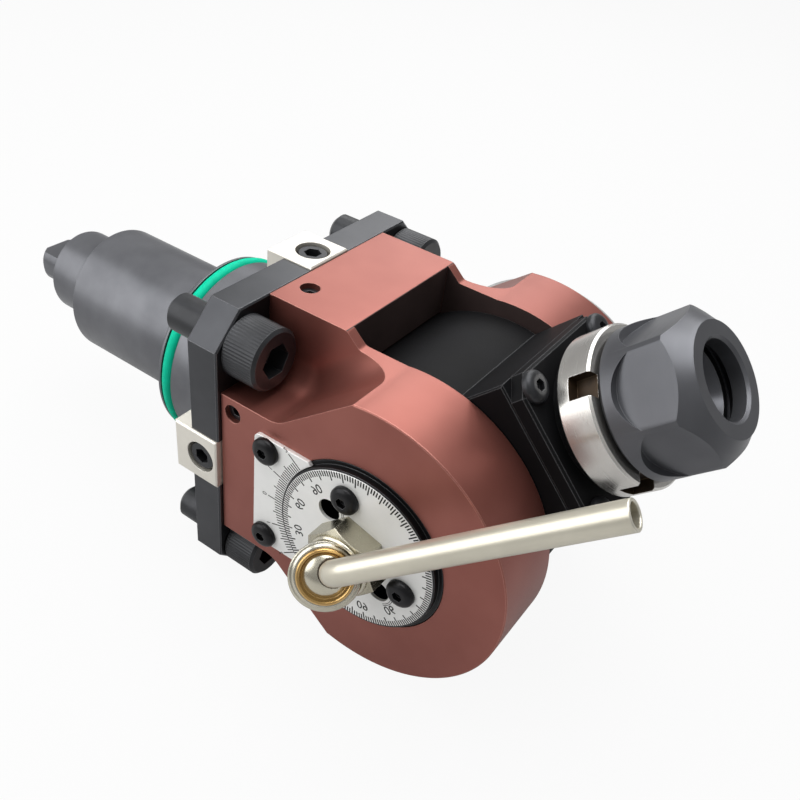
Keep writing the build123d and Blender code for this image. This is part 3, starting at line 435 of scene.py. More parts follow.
WHITE: Colour = (1.0, 1.0, 1.0, 1.0)
CLOUD_STOPS = (0.3, 0.7)  # the values of a noise between which one tone turns into the other
CLOUD_DETAIL = 3.0
CLOUD_ROUGHNESS = 0.55
MARK_DETAIL = 2.0
ROUGHNESS_SPREAD = 0.05  # the marks change the roughness by this much either way
MARK_STRENGTH = 0.6
EDGE_SAMPLES = 4
FLAT_COSINE, EDGE_COSINE = 0.99, 0.90  # the rounded normal against the true one
TURNED_STRETCH = (0.04, 0.04, 1.0)  # grit drawn out round an axis
DRAWN_STRETCH = (1.0, 1.0, 0.03)  # grit drawn out along it
MIX_FIRST, MIX_SECOND, MIX_RESULT = 6, 7, 2  # the colour sockets of a Mix node


def linear(text: str) -> Colour:
    """An sRGB hex colour as linear light: c / 12.92 near black, else ((c + 0.055) / 1.055) ** 2.4.

    Args:
        text: The colour as #rrggbb.

    Returns:
        Red, green, blue and a full alpha.
    """
    values = [int(text[i:i + 2], 16) / 255 for i in (1, 3, 5)]
    light = [v / 12.92 if v <= 0.04045 else ((v + 0.055) / 1.055) ** 2.4 for v in values]
    return (light[0], light[1], light[2], 1.0)


def emptied(block: bpy.types.Material | bpy.types.World) -> bpy.types.NodeTree:
    """Switches a material's or world's nodes on and clears them.

    Args:
        block: The material or world.

    Returns:
        Its empty node tree.
    """
    block.use_nodes = True
    block.node_tree.nodes.clear()
    return block.node_tree


def add(tree: bpy.types.NodeTree, kind: str, settings: dict | None = None,
        links: dict | None = None) -> bpy.types.Node:
    """Adds one node.

    Args:
        tree: The node tree.
        kind: The node's type name.
        settings: Attribute names or socket names with their values.
        links: Socket names or numbers with the output sockets that feed them.

    Returns:
        The new node.
    """
    made = tree.nodes.new(kind)
    for name, value in (settings or {}).items():
        if isinstance(name, str) and hasattr(made, name):
            setattr(made, name, value)
        else:
            made.inputs[name].default_value = value
    for name, source in (links or {}).items():
        tree.links.new(source, made.inputs[name])
    return made


def ramp(tree: bpy.types.NodeTree, source: bpy.types.NodeSocket, places: tuple[float, float],
         tones: tuple[str, str]) -> bpy.types.NodeSocket:
    """A ramp from one tone to another.

    Args:
        tree: The node tree.
        source: The value that the ramp reads.
        places: The values at which the tones stand.
        tones: The two tones.

    Returns:
        The colour's socket.
    """
    made = add(tree, "ShaderNodeValToRGB", links={"Fac": source})
    for element, position, tone in zip(made.color_ramp.elements, places, tones):
        element.position, element.color = position, linear(tone)
    return made.outputs["Color"]


class Grain(Enum):
    """How the surface was made, which sets the direction of its fine marks."""

    BLASTED = "blasted"
    TURNED_ABOUT_NOSE = "turned about the nose"
    TURNED_ABOUT_SHANK = "turned about the shank"
    DRAWN = "drawn along the nose"


@dataclass(frozen=True)
class MetalFinish:
    """One metal surface: two tones that drift into one another, fine marks and paler edges.

    The drift is a soft cloud some millimetres wide, as plating and oxide baths leave. The fine
    marks are drawn a little coarser than the real ones, which are too fine to show. Edges are
    paler by a bevel that compares the rounded normal with the true one: partly the wear that
    handling and deburring leave, partly a painted highlight along each edge.
    """

    name: str
    slot: str
    tone: str
    deep_tone: str
    edge_wear_and_highlight_tone: str
    metallic: float
    roughness: float
    grain: Grain = Grain.BLASTED
    drift_mm: float = 12.0
    mark_mm: float = 0.35
    mark_depth_mm: float = 0.004
    edge_mm: float = 0.35
    edge_wear_and_highlight_share: float = 0.6
    specular: float = 0.5

    def mark_coordinates(self, tree: bpy.types.NodeTree,
                         place: bpy.types.NodeSocket) -> bpy.types.NodeSocket:
        """Object coordinates stretched along the marks, so that grit turns into lines.

        Args:
            tree: The node tree.
            place: The object coordinates.

        Returns:
            The socket that the marks' noise reads.
        """
        if self.grain is Grain.BLASTED:
            return place
        lean = 0.0 if self.grain is Grain.TURNED_ABOUT_SHANK else NOSE_DEGREES
        turn = (0.0, math.radians(90.0 - lean), 0.0)
        stretch = DRAWN_STRETCH if self.grain is Grain.DRAWN else TURNED_STRETCH
        level = add(tree, "ShaderNodeMapping", {"vector_type": "TEXTURE", "Rotation": turn},
                    {"Vector": place}).outputs["Vector"]
        return add(tree, "ShaderNodeMapping", {"Scale": stretch},
                   {"Vector": level}).outputs["Vector"]

    def colour(self, tree: bpy.types.NodeTree, place: bpy.types.NodeSocket,
               rounded: bpy.types.NodeSocket) -> bpy.types.NodeSocket:
        """The drifting tones, and the edge's tone where the rounded normal leaves the true one.

        Args:
            tree: The node tree.
            place: The object coordinates.
            rounded: The bevelled normal.

        Returns:
            The colour's socket.
        """
        drift = add(tree, "ShaderNodeTexNoise",
                    {"Scale": 1000 / self.drift_mm, "Detail": CLOUD_DETAIL,
                     "Roughness": CLOUD_ROUGHNESS}, {"Vector": place}).outputs["Fac"]
        truth = add(tree, "ShaderNodeNewGeometry").outputs["Normal"]
        match = add(tree, "ShaderNodeVectorMath", {"operation": "DOT_PRODUCT"},
                    {0: rounded, 1: truth}).outputs["Value"]
        # The paler edge is partly wear, partly a painted highlight along each edge.
        edge = add(tree, "ShaderNodeMapRange",
                   {"From Min": FLAT_COSINE, "From Max": EDGE_COSINE, "To Min": 0.0,
                    "To Max": self.edge_wear_and_highlight_share}, {"Value": match}).outputs["Result"]
        tone = ramp(tree, drift, CLOUD_STOPS, (self.deep_tone, self.tone))
        return add(tree, "ShaderNodeMix",
                   {"data_type": "RGBA", MIX_SECOND: linear(self.edge_wear_and_highlight_tone)},
                   {"Factor": edge, MIX_FIRST: tone}).outputs[MIX_RESULT]

    def build(self) -> bpy.types.Material:
        """Makes the material's nodes.

        Returns:
            The material.
        """
        material = bpy.data.materials.new(self.name)
        tree = emptied(material)
        place = add(tree, "ShaderNodeTexCoord").outputs["Object"]
        marks = add(tree, "ShaderNodeTexNoise",
                    {"Scale": 1000 / self.mark_mm, "Detail": MARK_DETAIL},
                    {"Vector": self.mark_coordinates(tree, place)}).outputs["Fac"]
        rounded = add(tree, "ShaderNodeBevel",
                      {"samples": EDGE_SAMPLES, "Radius": self.edge_mm * MM}).outputs["Normal"]
        rough = add(tree, "ShaderNodeMapRange", {"To Min": self.roughness - ROUGHNESS_SPREAD,
                                                 "To Max": self.roughness + ROUGHNESS_SPREAD},
                    {"Value": marks}).outputs["Result"]
        bump = add(tree, "ShaderNodeBump",
                   {"Strength": MARK_STRENGTH, "Distance": self.mark_depth_mm * MM},
                   {"Height": marks, "Normal": rounded}).outputs["Normal"]
        shader = add(tree, "ShaderNodeBsdfPrincipled",
                     {"Metallic": self.metallic, "Specular IOR Level": self.specular},
                     {"Base Color": self.colour(tree, place, rounded), "Roughness": rough,
                      "Normal": bump})
        add(tree, "ShaderNodeOutputMaterial", links={"Surface": shader.outputs["BSDF"]})
        return material


@dataclass(frozen=True)
class RubberFinish:
    """Moulded rubber: a smooth skin over a slightly uneven colour."""

    name: str
    slot: str
    tone: str
    deep_tone: str
    roughness: float
    specular: float = 0.5
    cloud_mm: float = 4.0
    skin_depth_mm: float = 0.02
    skin_strength: float = 0.3

    def build(self) -> bpy.types.Material:
        """Makes the material's nodes.

        Returns:
            The material.
        """
        material = bpy.data.materials.new(self.name)
        tree = emptied(material)
        place = add(tree, "ShaderNodeTexCoord").outputs["Object"]
        cloud = add(tree, "ShaderNodeTexNoise",
                    {"Scale": 1000 / self.cloud_mm, "Detail": CLOUD_DETAIL},
                    {"Vector": place}).outputs["Fac"]
        tone = ramp(tree, cloud, CLOUD_STOPS, (self.deep_tone, self.tone))
        bump = add(tree, "ShaderNodeBump",
                   {"Strength": self.skin_strength, "Distance": self.skin_depth_mm * MM},
                   {"Height": cloud}).outputs["Normal"]
        shader = add(tree, "ShaderNodeBsdfPrincipled",
                     {"Roughness": self.roughness, "Specular IOR Level": self.specular},
                     {"Base Color": tone, "Normal": bump})
        add(tree, "ShaderNodeOutputMaterial", links={"Surface": shader.outputs["BSDF"]})
        return material


Finish = MetalFinish | RubberFinish


# Black oxide on machined steel: dark blue-grey, a soft sheen, and paler edges of wear and painted highlight.
BLACK_OXIDE = MetalFinish(
    "black_oxide_steel", "black_steel", "#3a3b3e", "#303134", "#707174", 0.7, 0.42)
# The same on a finely turned rim and its small screws, which read as black.
BLACK_DEEP = MetalFinish(
    "black_oxide_dial_rim", "black_steel", "#1d1d1f", "#161618", "#6a6b6e", 0.6, 0.34,
    edge_mm=0.25)
# Black oxide on the ground head, turned away from the lamps: painted darker as its shade, matt black.
BLACK_HEAD_IN_SHADE = MetalFinish(
    "black_oxide_head_painted_shade", "black_steel", "#121214", "#0e0e0f", "#77787a", 0.0, 0.6,
    specular=0.1)
# Black oxide on turned steel: fine lines round the shank spread its highlight.
BLACK_TURNED = MetalFinish(
    "black_oxide_turned_steel", "black_steel", "#6e6f73", "#606165", "#96979a", 0.75, 0.37,
    Grain.TURNED_ABOUT_SHANK, mark_mm=0.5)
# Black oxide on a ground plate: an even dark grey that mirrors the tent softly.
BLACK_FLANGE = MetalFinish(
    "black_oxide_ground_flange", "black_steel", "#47484b", "#3e3f42", "#9a9b9e", 0.85, 0.31,
    edge_mm=0.25)
# Black oxide on a turned and milled nut: grey flats, their edges faintly paler with wear and painted highlight.
BLACK_NUT = MetalFinish(
    "black_oxide_ground_nut", "black_steel", "#65666a", "#595a5e", "#808184", 0.7, 0.40,
    Grain.TURNED_ABOUT_NOSE, mark_mm=0.5, drift_mm=20.0, edge_mm=0.15, edge_wear_and_highlight_share=0.3)
# Black oxide on bought screws: dark, with pale knurls and rims.
BLACK_SCREW = MetalFinish(
    "black_oxide_screws", "black_steel", "#36373a", "#2b2c2e", "#77787a", 0.55, 0.38,
    edge_mm=0.2, drift_mm=5.0)
# Painted shade in the milled slots of bright steel and in the gap about the tube's root: a warm dark brown without
# gloss.
SLOT_AND_GAP_SHADE = MetalFinish(
    "slot_and_gap_painted_shade", "ground_steel", "#4a3a2a", "#2c241c", "#8a7458", 0.6, 0.45,
    drift_mm=4.0, edge_mm=0.2)
# Red-brown anodised, blasted aluminium: an even metallic colour, paler at edges.
ANODISED = MetalFinish(
    "red_brown_anodised_aluminium", "brown_anodised", "#9b6056", "#8c534a", "#dba093", 0.75, 0.39,
    drift_mm=25.0, mark_mm=0.25, edge_mm=0.3)
# The same in the window, painted dark and dull as the window's shade.
ANODISED_WINDOW_SHADE = MetalFinish(
    "anodised_aluminium_painted_window_shade", "brown_anodised", "#544442", "#453836", "#8a4f45",
    0.5, 0.55, drift_mm=15.0, edge_mm=0.3, edge_wear_and_highlight_share=0.5)
# Ground steel: bright, with fine lines round the nose's axis.
GROUND = MetalFinish(
    "ground_steel", "ground_steel", "#dedcd7", "#cecbc6", "#ffffff", 0.92, 0.26,
    Grain.TURNED_ABOUT_NOSE, mark_mm=0.6, edge_mm=0.2)
# Hardened steel as turned, seen inside the nut: the same lines on a grey painted darker as the shade there.
SPINDLE_IN_SHADE = MetalFinish(
    "spindle_steel_painted_shade", "ground_steel", "#55565a", "#46474a", "#d8d8d8", 0.9, 0.30,
    Grain.TURNED_ABOUT_NOSE, mark_mm=0.6, edge_mm=0.25)
# Surface-ground keys: warm, pale steel that mirrors nothing clearly.
KEY_STEEL = MetalFinish(
    "surface_ground_keys", "key_steel", "#e4e0d6", "#d8d4ca", "#fbf8f0", 0.6, 0.38, edge_mm=0.3)
# Polished bearing steel: nearly a mirror.
BEARING = MetalFinish(
    "polished_bearing_steel", "bearing_steel", "#cfcfd1", "#bcbcbe", "#f2f2f2", 1.0, 0.18)
# Turned bronze of the bushes: brown gold.
BRONZE = MetalFinish("turned_bronze", "bronze", "#a8814f", "#8f6c40", "#d8b27c", 0.95, 0.35)
# Turned brass: pale gold with clear reflections.
BRASS = MetalFinish("turned_brass", "brass", "#e2c083", "#c49a5c", "#ffe9bd", 1.0, 0.22)
# Nickel plating on turned brass: warm silver, close to a mirror.
NICKEL = MetalFinish(
    "nickel_plated_brass", "nickel", "#d0cbba", "#bdb8a7", "#f6f3e8", 0.95, 0.22, drift_mm=8.0)
# The same on the milled hexagon: duller, and a little darker as painted shade from the ball.
NICKEL_HEX = MetalFinish(
    "nickel_plated_hexagon_with_painted_shade", "nickel", "#b3ae9b", "#a19c8a", "#e4e0d0", 0.95, 0.26, drift_mm=8.0)
# The same on a drawn tube, where faint lines along it soften the reflections.
NICKEL_TUBE = MetalFinish(
    "nickel_plated_tube", "nickel", "#dcd7c7", "#d0cbbb", "#f6f3e8", 0.82, 0.36,
    Grain.DRAWN, mark_mm=0.5)
# Satin silver scale plate: nearly white and matt, so that the ticks stand out.
PLATE = MetalFinish(
    "satin_silver_scale_plate", "scale_plate", "#f4f4f2", "#ececea", "#ffffff", 0.25, 0.40,
    mark_mm=0.2, edge_mm=0.15)
# Clear anodised aluminium: pale silver with a soft sheen.
COVER = MetalFinish(
    "clear_anodised_cover", "cover_aluminium", "#d2d2d0", "#c4c4c2", "#f0f0ef", 0.9, 0.36)
# Paint in engraved lines: black and matt.
ENGRAVED = MetalFinish(
    "black_filled_engraving", "black_steel", "#0a0a0b", "#070708", "#0a0a0b", 0.0, 0.6,
    edge_wear_and_highlight_share=0.0, specular=0.2)
# Moulded rubber of the ring seal: strong green with hardly any gloss.
GREEN_RUBBER = RubberFinish(
    "green_moulded_rubber", "green_rubber", "#02cba2", "#02b58f", 0.6, 0.12)
# Moulded seal rubber: black with a soft sheen.
SEAL_RUBBER = RubberFinish("black_seal_rubber", "seal_rubber", "#1d1d1f", "#151517", 0.5)

SLOT_FINISHES: dict[str, Finish] = {
    "black_steel": BLACK_OXIDE, "brown_anodised": ANODISED, "ground_steel": GROUND,
    "key_steel": KEY_STEEL, "bearing_steel": BEARING, "bronze": BRONZE, "brass": BRASS,
    "nickel": NICKEL, "scale_plate": PLATE, "cover_aluminium": COVER,
    "green_rubber": GREEN_RUBBER, "seal_rubber": SEAL_RUBBER,
}
# The spindle's grey is painted darker as the shade inside the nut.
NODE_FINISHES: dict[str, Finish] = {"spindle": SPINDLE_IN_SHADE, "trunnion_screws": BLACK_SCREW}


class Paintshop:
    """Builds each finish once and puts it on pieces."""

    def __init__(self) -> None:
        """Starts with no material made."""
        self.made: dict[str, bpy.types.Material] = {}

    def material(self, finish: Finish) -> bpy.types.Material:
        """The finish's material, built at its first use.

        Args:
            finish: The finish.

        Returns:
            Its one material.
        """
        if finish.name not in self.made:
            self.made[finish.name] = finish.build()
        return self.made[finish.name]

    def coat(self, piece: bpy.types.Object, finish: Finish) -> None:
        """Puts a finish on the whole of a piece."""
        piece.data.materials.clear()
        piece.data.materials.append(self.material(finish))

    def second_coat(self, piece: bpy.types.Object, finish: Finish, faces: np.ndarray) -> None:
        """Puts another finish on some faces of a coated piece."""
        piece.data.materials.append(self.material(finish))
        piece.data.polygons.foreach_set("material_index", faces.astype(np.int32))

    def dress(self, piece: bpy.types.Object, finish: Finish, body: str,
              *stands_for: str) -> bpy.types.Object:
        """Finishes a new piece: finish, shading, body and the solids that it stands for.

        Args:
            piece: The new piece.
            finish: Its finish.
            body: The moving body that it rides on.
            stands_for: The solids that it replaces.

        Returns:
            The piece.
        """
        self.coat(smooth(piece), finish)
        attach(piece, body)
        if stands_for:
            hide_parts(*stands_for)
        solids = ", ".join(stands_for) or "nothing"
        LOG.info("%s rides on %s and stands for %s", piece.name, body, solids)
        return piece

    def coat_nodes(self) -> None:
        """Gives every solid of the frame the finish of its slot, or its own where it has one."""
        slots = {entry["node"]: entry["material_slot"] for entry in frame["record"]["subparts"]}
        for name, solid in frame["nodes"].items():
            self.coat(solid, NODE_FINISHES.get(name, SLOT_FINISHES[slots[name]]))
        LOG.info("%d solids coated", len(frame["nodes"]))


# Fasteners


@dataclass(frozen=True)
class CapScrew:
    """A socket head cap screw with a straight knurl round its head."""

    diameter: float
    length: float
    head_height: float
    ridges: int = 48
    knurl_depth: float = 0.12
    under_edge: float = 0.3
    knurl_gap: float = 0.35
    knurl_fade: float = 0.5

    def build(self, name: str, place: Place) -> bpy.types.Object:
        """Builds the screw: its head's underside is at height 0 and its shank points down.

        The head is a grid of (r cos t, r sin t, h), where r drops by
        depth * (0.5 - 0.5 cos(ridges t)) over the knurled height. The shank is a plain turned
        profile with a chamfered tip.

        Args:
            name: The screw's name.
            place: The frame of its seat.

        Returns:
            The screw.
        """
        radius, height = 0.8 * self.diameter, self.head_height
        crown, tip = 0.08 * self.diameter, 0.12 * self.diameter
        across_flats, socket_depth = 0.8 * self.diameter, 0.5 * self.diameter
        steps = self.ridges * 6
        angles = np.linspace(0.0, 2 * math.pi, steps, endpoint=False)
        wave = self.knurl_depth * (0.5 - 0.5 * np.cos(self.ridges * angles))
        rows = [(0.0, 0.0, 0.0), (radius - self.under_edge, 0.0, 0.0),
                (radius, self.knurl_gap, 0.0), (radius, 2 * self.knurl_gap, 1.0),
                (radius, height - crown - self.knurl_fade, 1.0), (radius, height - crown, 0.0),
                (radius - crown, height, 0.0), (0.0, height, 0.0)]
        r, h, share = (np.array(column)[:, None] for column in zip(*rows))
        rim = r - share * wave
        points = np.stack([rim * np.cos(angles), rim * np.sin(angles), h + 0.0 * angles], axis=-1)
        head = clean(mesh_object(name, place.world(points).reshape(-1, 3),
                                 grid_faces(len(rows), steps)))
        head = cut(head, bar("socket", place, hexagon(across_flats), height - socket_depth,
                             height + SPARE))
        half, low = self.diameter / 2, -self.length
        shank = turned("shank", place, [(0, low), (half - tip, low), (half, low + tip),
                                        (half, 0), (0, 0)], SMALL_STEPS)
        return joined(name, [head, shank])


@dataclass(frozen=True)
class ButtonScrew:
    """A button head screw: a dome over a short rim, with a hexagon socket."""

    diameter: float
    length: float

    def build(self, name: str, place: Place) -> bpy.types.Object:
        """Builds the screw, its dome an elliptic arc from the rim to a flat crown.

        Args:
            name: The screw's name.
            place: The frame of its seat.

        Returns:
            The screw.
        """
        size, low = self.diameter, -self.length
        radius, height, rim, flat = 0.92 * size, 0.50 * size, 0.16 * size, 0.46 * size
        across_flats, socket_depth = 0.62 * size, 0.34 * size
        angles = np.radians(np.linspace(0.0, 90.0, 12))
        dome = [(flat + (radius - flat) * math.cos(a), rim + (height - rim) * math.sin(a))
                for a in angles]
        profile = [(0, low), (size / 2, low), (size / 2, 0), (radius, 0), *dome, (0, height)]
        return cut(turned(name, place, profile, MIDDLE_STEPS),
                   bar("socket", place, hexagon(across_flats), height - socket_depth,
                       height + SPARE))


# Sub-assemblies


@dataclass(frozen=True)
class Shank:
    """The pilot, shank, tail and tang with the ring seal."""

    pilot_radius: float = 27.5
    pilot_length: float = 28.0
    radius: float = 19.75
    end: float = 73.5
    bore: float = 16.0
    edge: float = 1.0
    seal_section: float = 3.6
    seal_place: float = 24.3
    seal_stand_out: float = 0.6
    seal_steps: int = 28
    groove_gap: float = 0.2
    shaft_radius: float = 10.0
    gear_seat_radius: float = 9.0
    gear_seat: tuple[float, float] = (9.9, 16.0)
    tail_radius: float = 13.2
    tail_end: float = 91.3
    tail_edge: float = 1.2
    tail_gap: float = 0.5
    tang_size: tuple[float, float, float] = (12.5, 15.0, 9.0)
    tang_chamfer: float = 1.8
    tang_round: float = 7.9

    def pilot(self) -> bpy.types.Object:
        """The stepped pilot and shank with the seal's groove, from the flange to the bore's mouth.

        Returns:
            The piece.
        """
        pilot, shoulder, edge = self.pilot_radius, -self.pilot_length, self.edge
        floor = pilot + self.seal_stand_out - self.seal_section
        half = self.seal_section / 2 + self.groove_gap
        back, front = -self.seal_place - half, -self.seal_place + half
        return turned("pilot_and_shank", SHANK, [
            (self.bore, OVERLAP), (self.bore, -self.end), (self.radius - edge, -self.end),
            (self.radius, -self.end + edge), (self.radius, shoulder), (pilot - edge, shoulder),
            (pilot, shoulder + edge), (pilot, back), (floor, back), (floor, front),
            (pilot, front), (pilot, OVERLAP)])

    def seal(self) -> bpy.types.Object:
        """The ring seal: a circle carried round the shank.

        Returns:
            The piece.
        """
        centre = self.pilot_radius + self.seal_stand_out - self.seal_section / 2
        section = circle(self.seal_section / 2, (centre, -self.seal_place), self.seal_steps)
        return turned("ring_seal", SHANK, [*map(tuple, section)], RIM_STEPS)

    def drive_shaft(self) -> bpy.types.Object:
        """The drive shaft from its gear seat to its thick tail, with the chamfered tang.

        Returns:
            The piece.
        """
        tail, edge, mouth = self.tail_radius, self.tail_edge, -self.end - self.tail_gap
        seat, (seat_start, seat_end) = self.gear_seat_radius, self.gear_seat
        body = turned("drive_shaft_and_tang", SHANK, [
            (0, -self.tail_end), (tail - edge, -self.tail_end), (tail, -self.tail_end + edge),
            (tail, mouth), (self.shaft_radius, mouth), (self.shaft_radius, seat_start),
            (seat, seat_start), (seat, seat_end), (0, seat_end)], LARGE_STEPS)
        length, width, thickness = self.tang_size
        end, r, c = self.tail_end + length, self.tang_round, self.tang_chamfer
        outline = rectangle((-width / 2, -thickness / 2), (width / 2, thickness / 2))
        tang = bar("tang", SHANK.flipped(), outline, self.tail_end - SPARE, end)
        root = -self.tail_end + 2 * SPARE
        stock = turned("stock", SHANK, [(0.0, root), (r, root), (r, -end + c), (r - c, -end),
                                        (0.0, -end)], LARGE_STEPS)
        return joined("drive_shaft_and_tang", [body, combine(tang, [stock], "INTERSECT")])


@dataclass(frozen=True)
class Flange:
    """The square flange with its keys, bolts and their screws."""

    thickness: float = 9.3
    half_width: float = 41.5
    half_height: float = 42.0
    clip: float = 8.3
    edge: float = 0.4
    key_width: float = 15.0
    key_thickness: float = 8.0
    key_stand_out: float = 0.7
    key_reach: float = 5.1
    key_gap: float = 0.2
    key_bore_radius: float = 4.5
    key_bore_depth: float = 3.2
    key_screw: CapScrew = CapScrew(5.0, 8.8, 2.6, 36, 0.06)
    key_screw_x: float = 3.6
    bolt: CapScrew = CapScrew(10.0, 21.6, 10.0, 60, 0.16)
    bolt_half: float = 32.0
    rear_bore: float = 16.0
    front_bore: float = 13.0
    bore_step: float = 7.0

    def plate(self) -> bpy.types.Object:
        """The flange with clipped corners and the four key slots.

        Returns:
            The piece.
        """
        wide, high, half = self.half_width, self.half_height, self.key_width / 2
        outline = rectangle((-wide, -high), (wide, high), self.clip)
        body = bar("flange", SHANK, outline, 0.0, self.thickness, self.edge, self.edge)
        slots = [bar("slot", side, rectangle((-half, -SPARE), (half, 20 * SPARE)),
                     -self.key_thickness + self.key_stand_out, 5 * SPARE)
                 for side in self.sides()]
        rear = bar("bore", SHANK, circle(self.rear_bore, steps=LARGE_STEPS), -SPARE,
                   self.bore_step)
        front = bar("bore", SHANK, circle(self.front_bore, steps=LARGE_STEPS),
                    self.bore_step - OVERLAP, self.thickness + SPARE)
        return cut(body, *slots, rear, front)

    def plate_faces(self, body: bpy.types.Object) -> np.ndarray:
        """Which faces of the shank and flange are the flange's: those from its back onwards."""
        slack = 0.05
        return middles(body)[:, 0] > -slack

    def sides(self) -> list[Place]:
        """A frame for each side: along points out of the flange and up points to the nose.

        Returns:
            The four frames, from the top round.
        """
        places = []
        for quarter, reach in enumerate((self.half_height, self.half_width) * 2):
            turn = math.radians(90.0 * quarter)
            out = (0.0, -math.sin(turn), math.cos(turn))
            across = tuple(np.cross((1.0, 0.0, 0.0), out))
            places.append(Place(tuple(reach * np.asarray(out)), across, out))
        return places

    def keys(self) -> list[bpy.types.Object]:
        """The four keys with their counterbores.

        Returns:
            The keys.
        """
        half, top = self.key_width / 2, self.key_stand_out
        outline = rectangle((-half, -self.key_reach), (half, self.thickness - self.key_gap))
        bore = circle(self.key_bore_radius, (0.0, self.key_screw_x), SMALL_STEPS)
        return [cut(bar("key", side, outline, -self.key_thickness + top, top, self.edge, self.edge),
                    bar("bore", side, bore, top - self.key_bore_depth, 5 * SPARE))
                for side in self.sides()]

    def key_screws(self) -> list[bpy.types.Object]:
        """The screws in the keys."""
        floor = self.key_stand_out - self.key_bore_depth
        return [self.key_screw.build("key_screw", side.at(0.0, self.key_screw_x, floor))
                for side in self.sides()]

    def bolts(self) -> list[bpy.types.Object]:
        """The four mounting bolts with their heads before the flange."""
        reach = self.bolt_half
        return [self.bolt.build("bolt", SHANK.at(a * reach, b * reach, self.thickness))
                for a, b in CORNERS]


@dataclass(frozen=True)
class Fork:
    """The anodised fork: a block, a shallow neck and two round cheeks with a window between."""

    start: float = 9.3
    half_width: float = 40.2
    half_height: float = 42.0
    edge: float = 0.25
    block_front: float = 32.0
    neck_start: float = 36.0
    neck_half: float = 38.6
    corner_radius: float = 2.0
    cheek_radius: float = 39.0
    window_half: float = 20.25
    window_far: tuple[float, float] = (140.0, 60.0)
    seat_radius: float = 35.4
    seat_back: float = 17.0
    wall_y: float = 23.0
    floor_z: float = 22.2
    ramp_start: float = 24.0
    ramp_radius: float = 8.0
    ramp_degrees: float = 39.0
    pocket_radius: float = 7.0
    dial_seat_radius: float = 23.45
    dial_seat: float = 38.2
    top_hole: tuple[float, float] = (14.3, -14.2)
    side_hole: tuple[float, float] = (13.2, 17.9)
    hole_radius: float = 2.5
    hole_depth: float = 5.0
    near_bore: float = 21.0
    far_bore: float = 16.5
    wheel_room: tuple[float, float, float] = (24.5, 31.0, 41.2)
    gear_room: tuple[float, float, float] = (24.6, 8.3, 16.4)
    layshaft_y: float = 30.0
    layshaft_rooms: tuple[tuple[float, float, float], ...] = (
        (8.6, 8.3, 16.4), (6.0, 15.4, 28.6), (8.3, 28.5, 35.6))

    def side_outline(self) -> np.ndarray:
        """The fork from the side, in X and Z: the upper half's lines and fillets, then its mirror.

        Returns:
            The outline's points.
        """
        x, r = PIVOT_POINT[0], self.corner_radius
        slope = math.degrees(math.atan2(self.half_height - self.neck_half,
                                        self.neck_start - self.block_front))
        reach = r * math.tan(math.radians(slope) / 2)
        top = arc((self.block_front - reach, self.half_height - r), r, 90.0, 90.0 - slope, 5)
        valley = arc((self.neck_start + reach, self.neck_half + r), r, -90.0 - slope, -90.0, 5)
        meet = math.degrees(math.asin(self.neck_half / self.cheek_radius))
        cheek = arc((x, 0.0), self.cheek_radius, 180.0 - meet, 0.0, 56)
        upper = np.concatenate([[(self.start, self.half_height)], top, valley, cheek])
        return np.concatenate([upper, (upper * (1.0, -1.0))[::-1][1:]])

    def pocket(self, side: int, level: int) -> bpy.types.Object:
        """The space cut for one bolt head.

        The floor is a line, an arc and a ramp in X and Z. At each floor point the section goes
        down the inner wall, round a quarter fillet towards the floor's normal, out past the side
        and up again.

        Args:
            side: 1 for the far side, -1 for the dial's.
            level: 1 for the top, -1 for the bottom.

        Returns:
            The cutting tool.
        """
        angle = math.radians(self.ramp_degrees)
        bend = arc((self.ramp_start, self.floor_z + self.ramp_radius), self.ramp_radius, -90.0,
                   -90.0 + self.ramp_degrees, 12)
        reach = (self.half_height + 8 * SPARE - bend[-1, 1]) / math.tan(angle)
        end = bend[-1] + reach * np.array([1.0, math.tan(angle)])
        floor = np.concatenate([[(self.start - SPARE, self.floor_z)], bend, [end]])
        lean = np.radians(np.concatenate([[0.0], np.linspace(0.0, self.ramp_degrees, 13),
                                          [self.ramp_degrees]]))
        out, r, wall = self.half_width + 5 * SPARE, self.pocket_radius, self.wall_y
        quarter = np.linspace(0.0, math.pi / 2, 9)
        across = np.concatenate([[wall], wall + r * (1 - np.cos(quarter)), [out, out]])
        lift = np.concatenate([[r], r * (1 - np.sin(quarter)), [0.0, 0.0]])
        x = floor[:, 0][:, None] - lift * np.sin(lean)[:, None]
        z = floor[:, 1][:, None] + lift * np.cos(lean)[:, None]
        z[:, [0, -1]] = self.half_height + 30 * SPARE
        y = across + 0.0 * x
        return loft("pocket", np.stack([x, side * y, level * z], axis=-1) * MM)

    def build(self) -> bpy.types.Object:
        """The block with its window, seat, pockets and holes cut out.

        Returns:
            The piece.
        """
        wide, gap = self.half_width, self.window_half
        body = bar("fork", SIDE, self.side_outline(), -wide, wide, self.edge, self.edge)
        far_x, far_z = self.window_far
        window = bar("window", SIDE, rectangle((self.block_front, -far_z), (far_x, far_z)),
                     -gap, gap)
        seat = bar("seat", PIVOT, circle(self.seat_radius, steps=RIM_STEPS), -gap, gap)
        dial_seat = bar("dial_seat", DIAL_SIDE, circle(self.dial_seat_radius), self.dial_seat,
                        wide + 2 * SPARE)
        pockets = [self.pocket(side, level) for side, level in CORNERS]
        return cut(body, window, seat, dial_seat, *pockets, *self.set_screw_holes(),
                   *self.rooms())

    def set_screw_holes(self) -> list[bpy.types.Object]:
        """The two tapped holes, one in the top and one in the dial's side.

        Returns:
            The cutting tools.
        """
        (top_x, top_y), (side_x, side_z) = self.top_hole, self.side_hole
        seats = [Place((top_x, top_y, self.half_height), (1.0, 0.0, 0.0), (0.0, 0.0, 1.0)),
                 Place((side_x, -self.half_width, side_z), (1.0, 0.0, 0.0), (0.0, -1.0, 0.0))]
        hole = circle(self.hole_radius, steps=TINY_STEPS)
        return [bar("hole", seat, hole, -self.hole_depth, 2 * SPARE) for seat in seats]

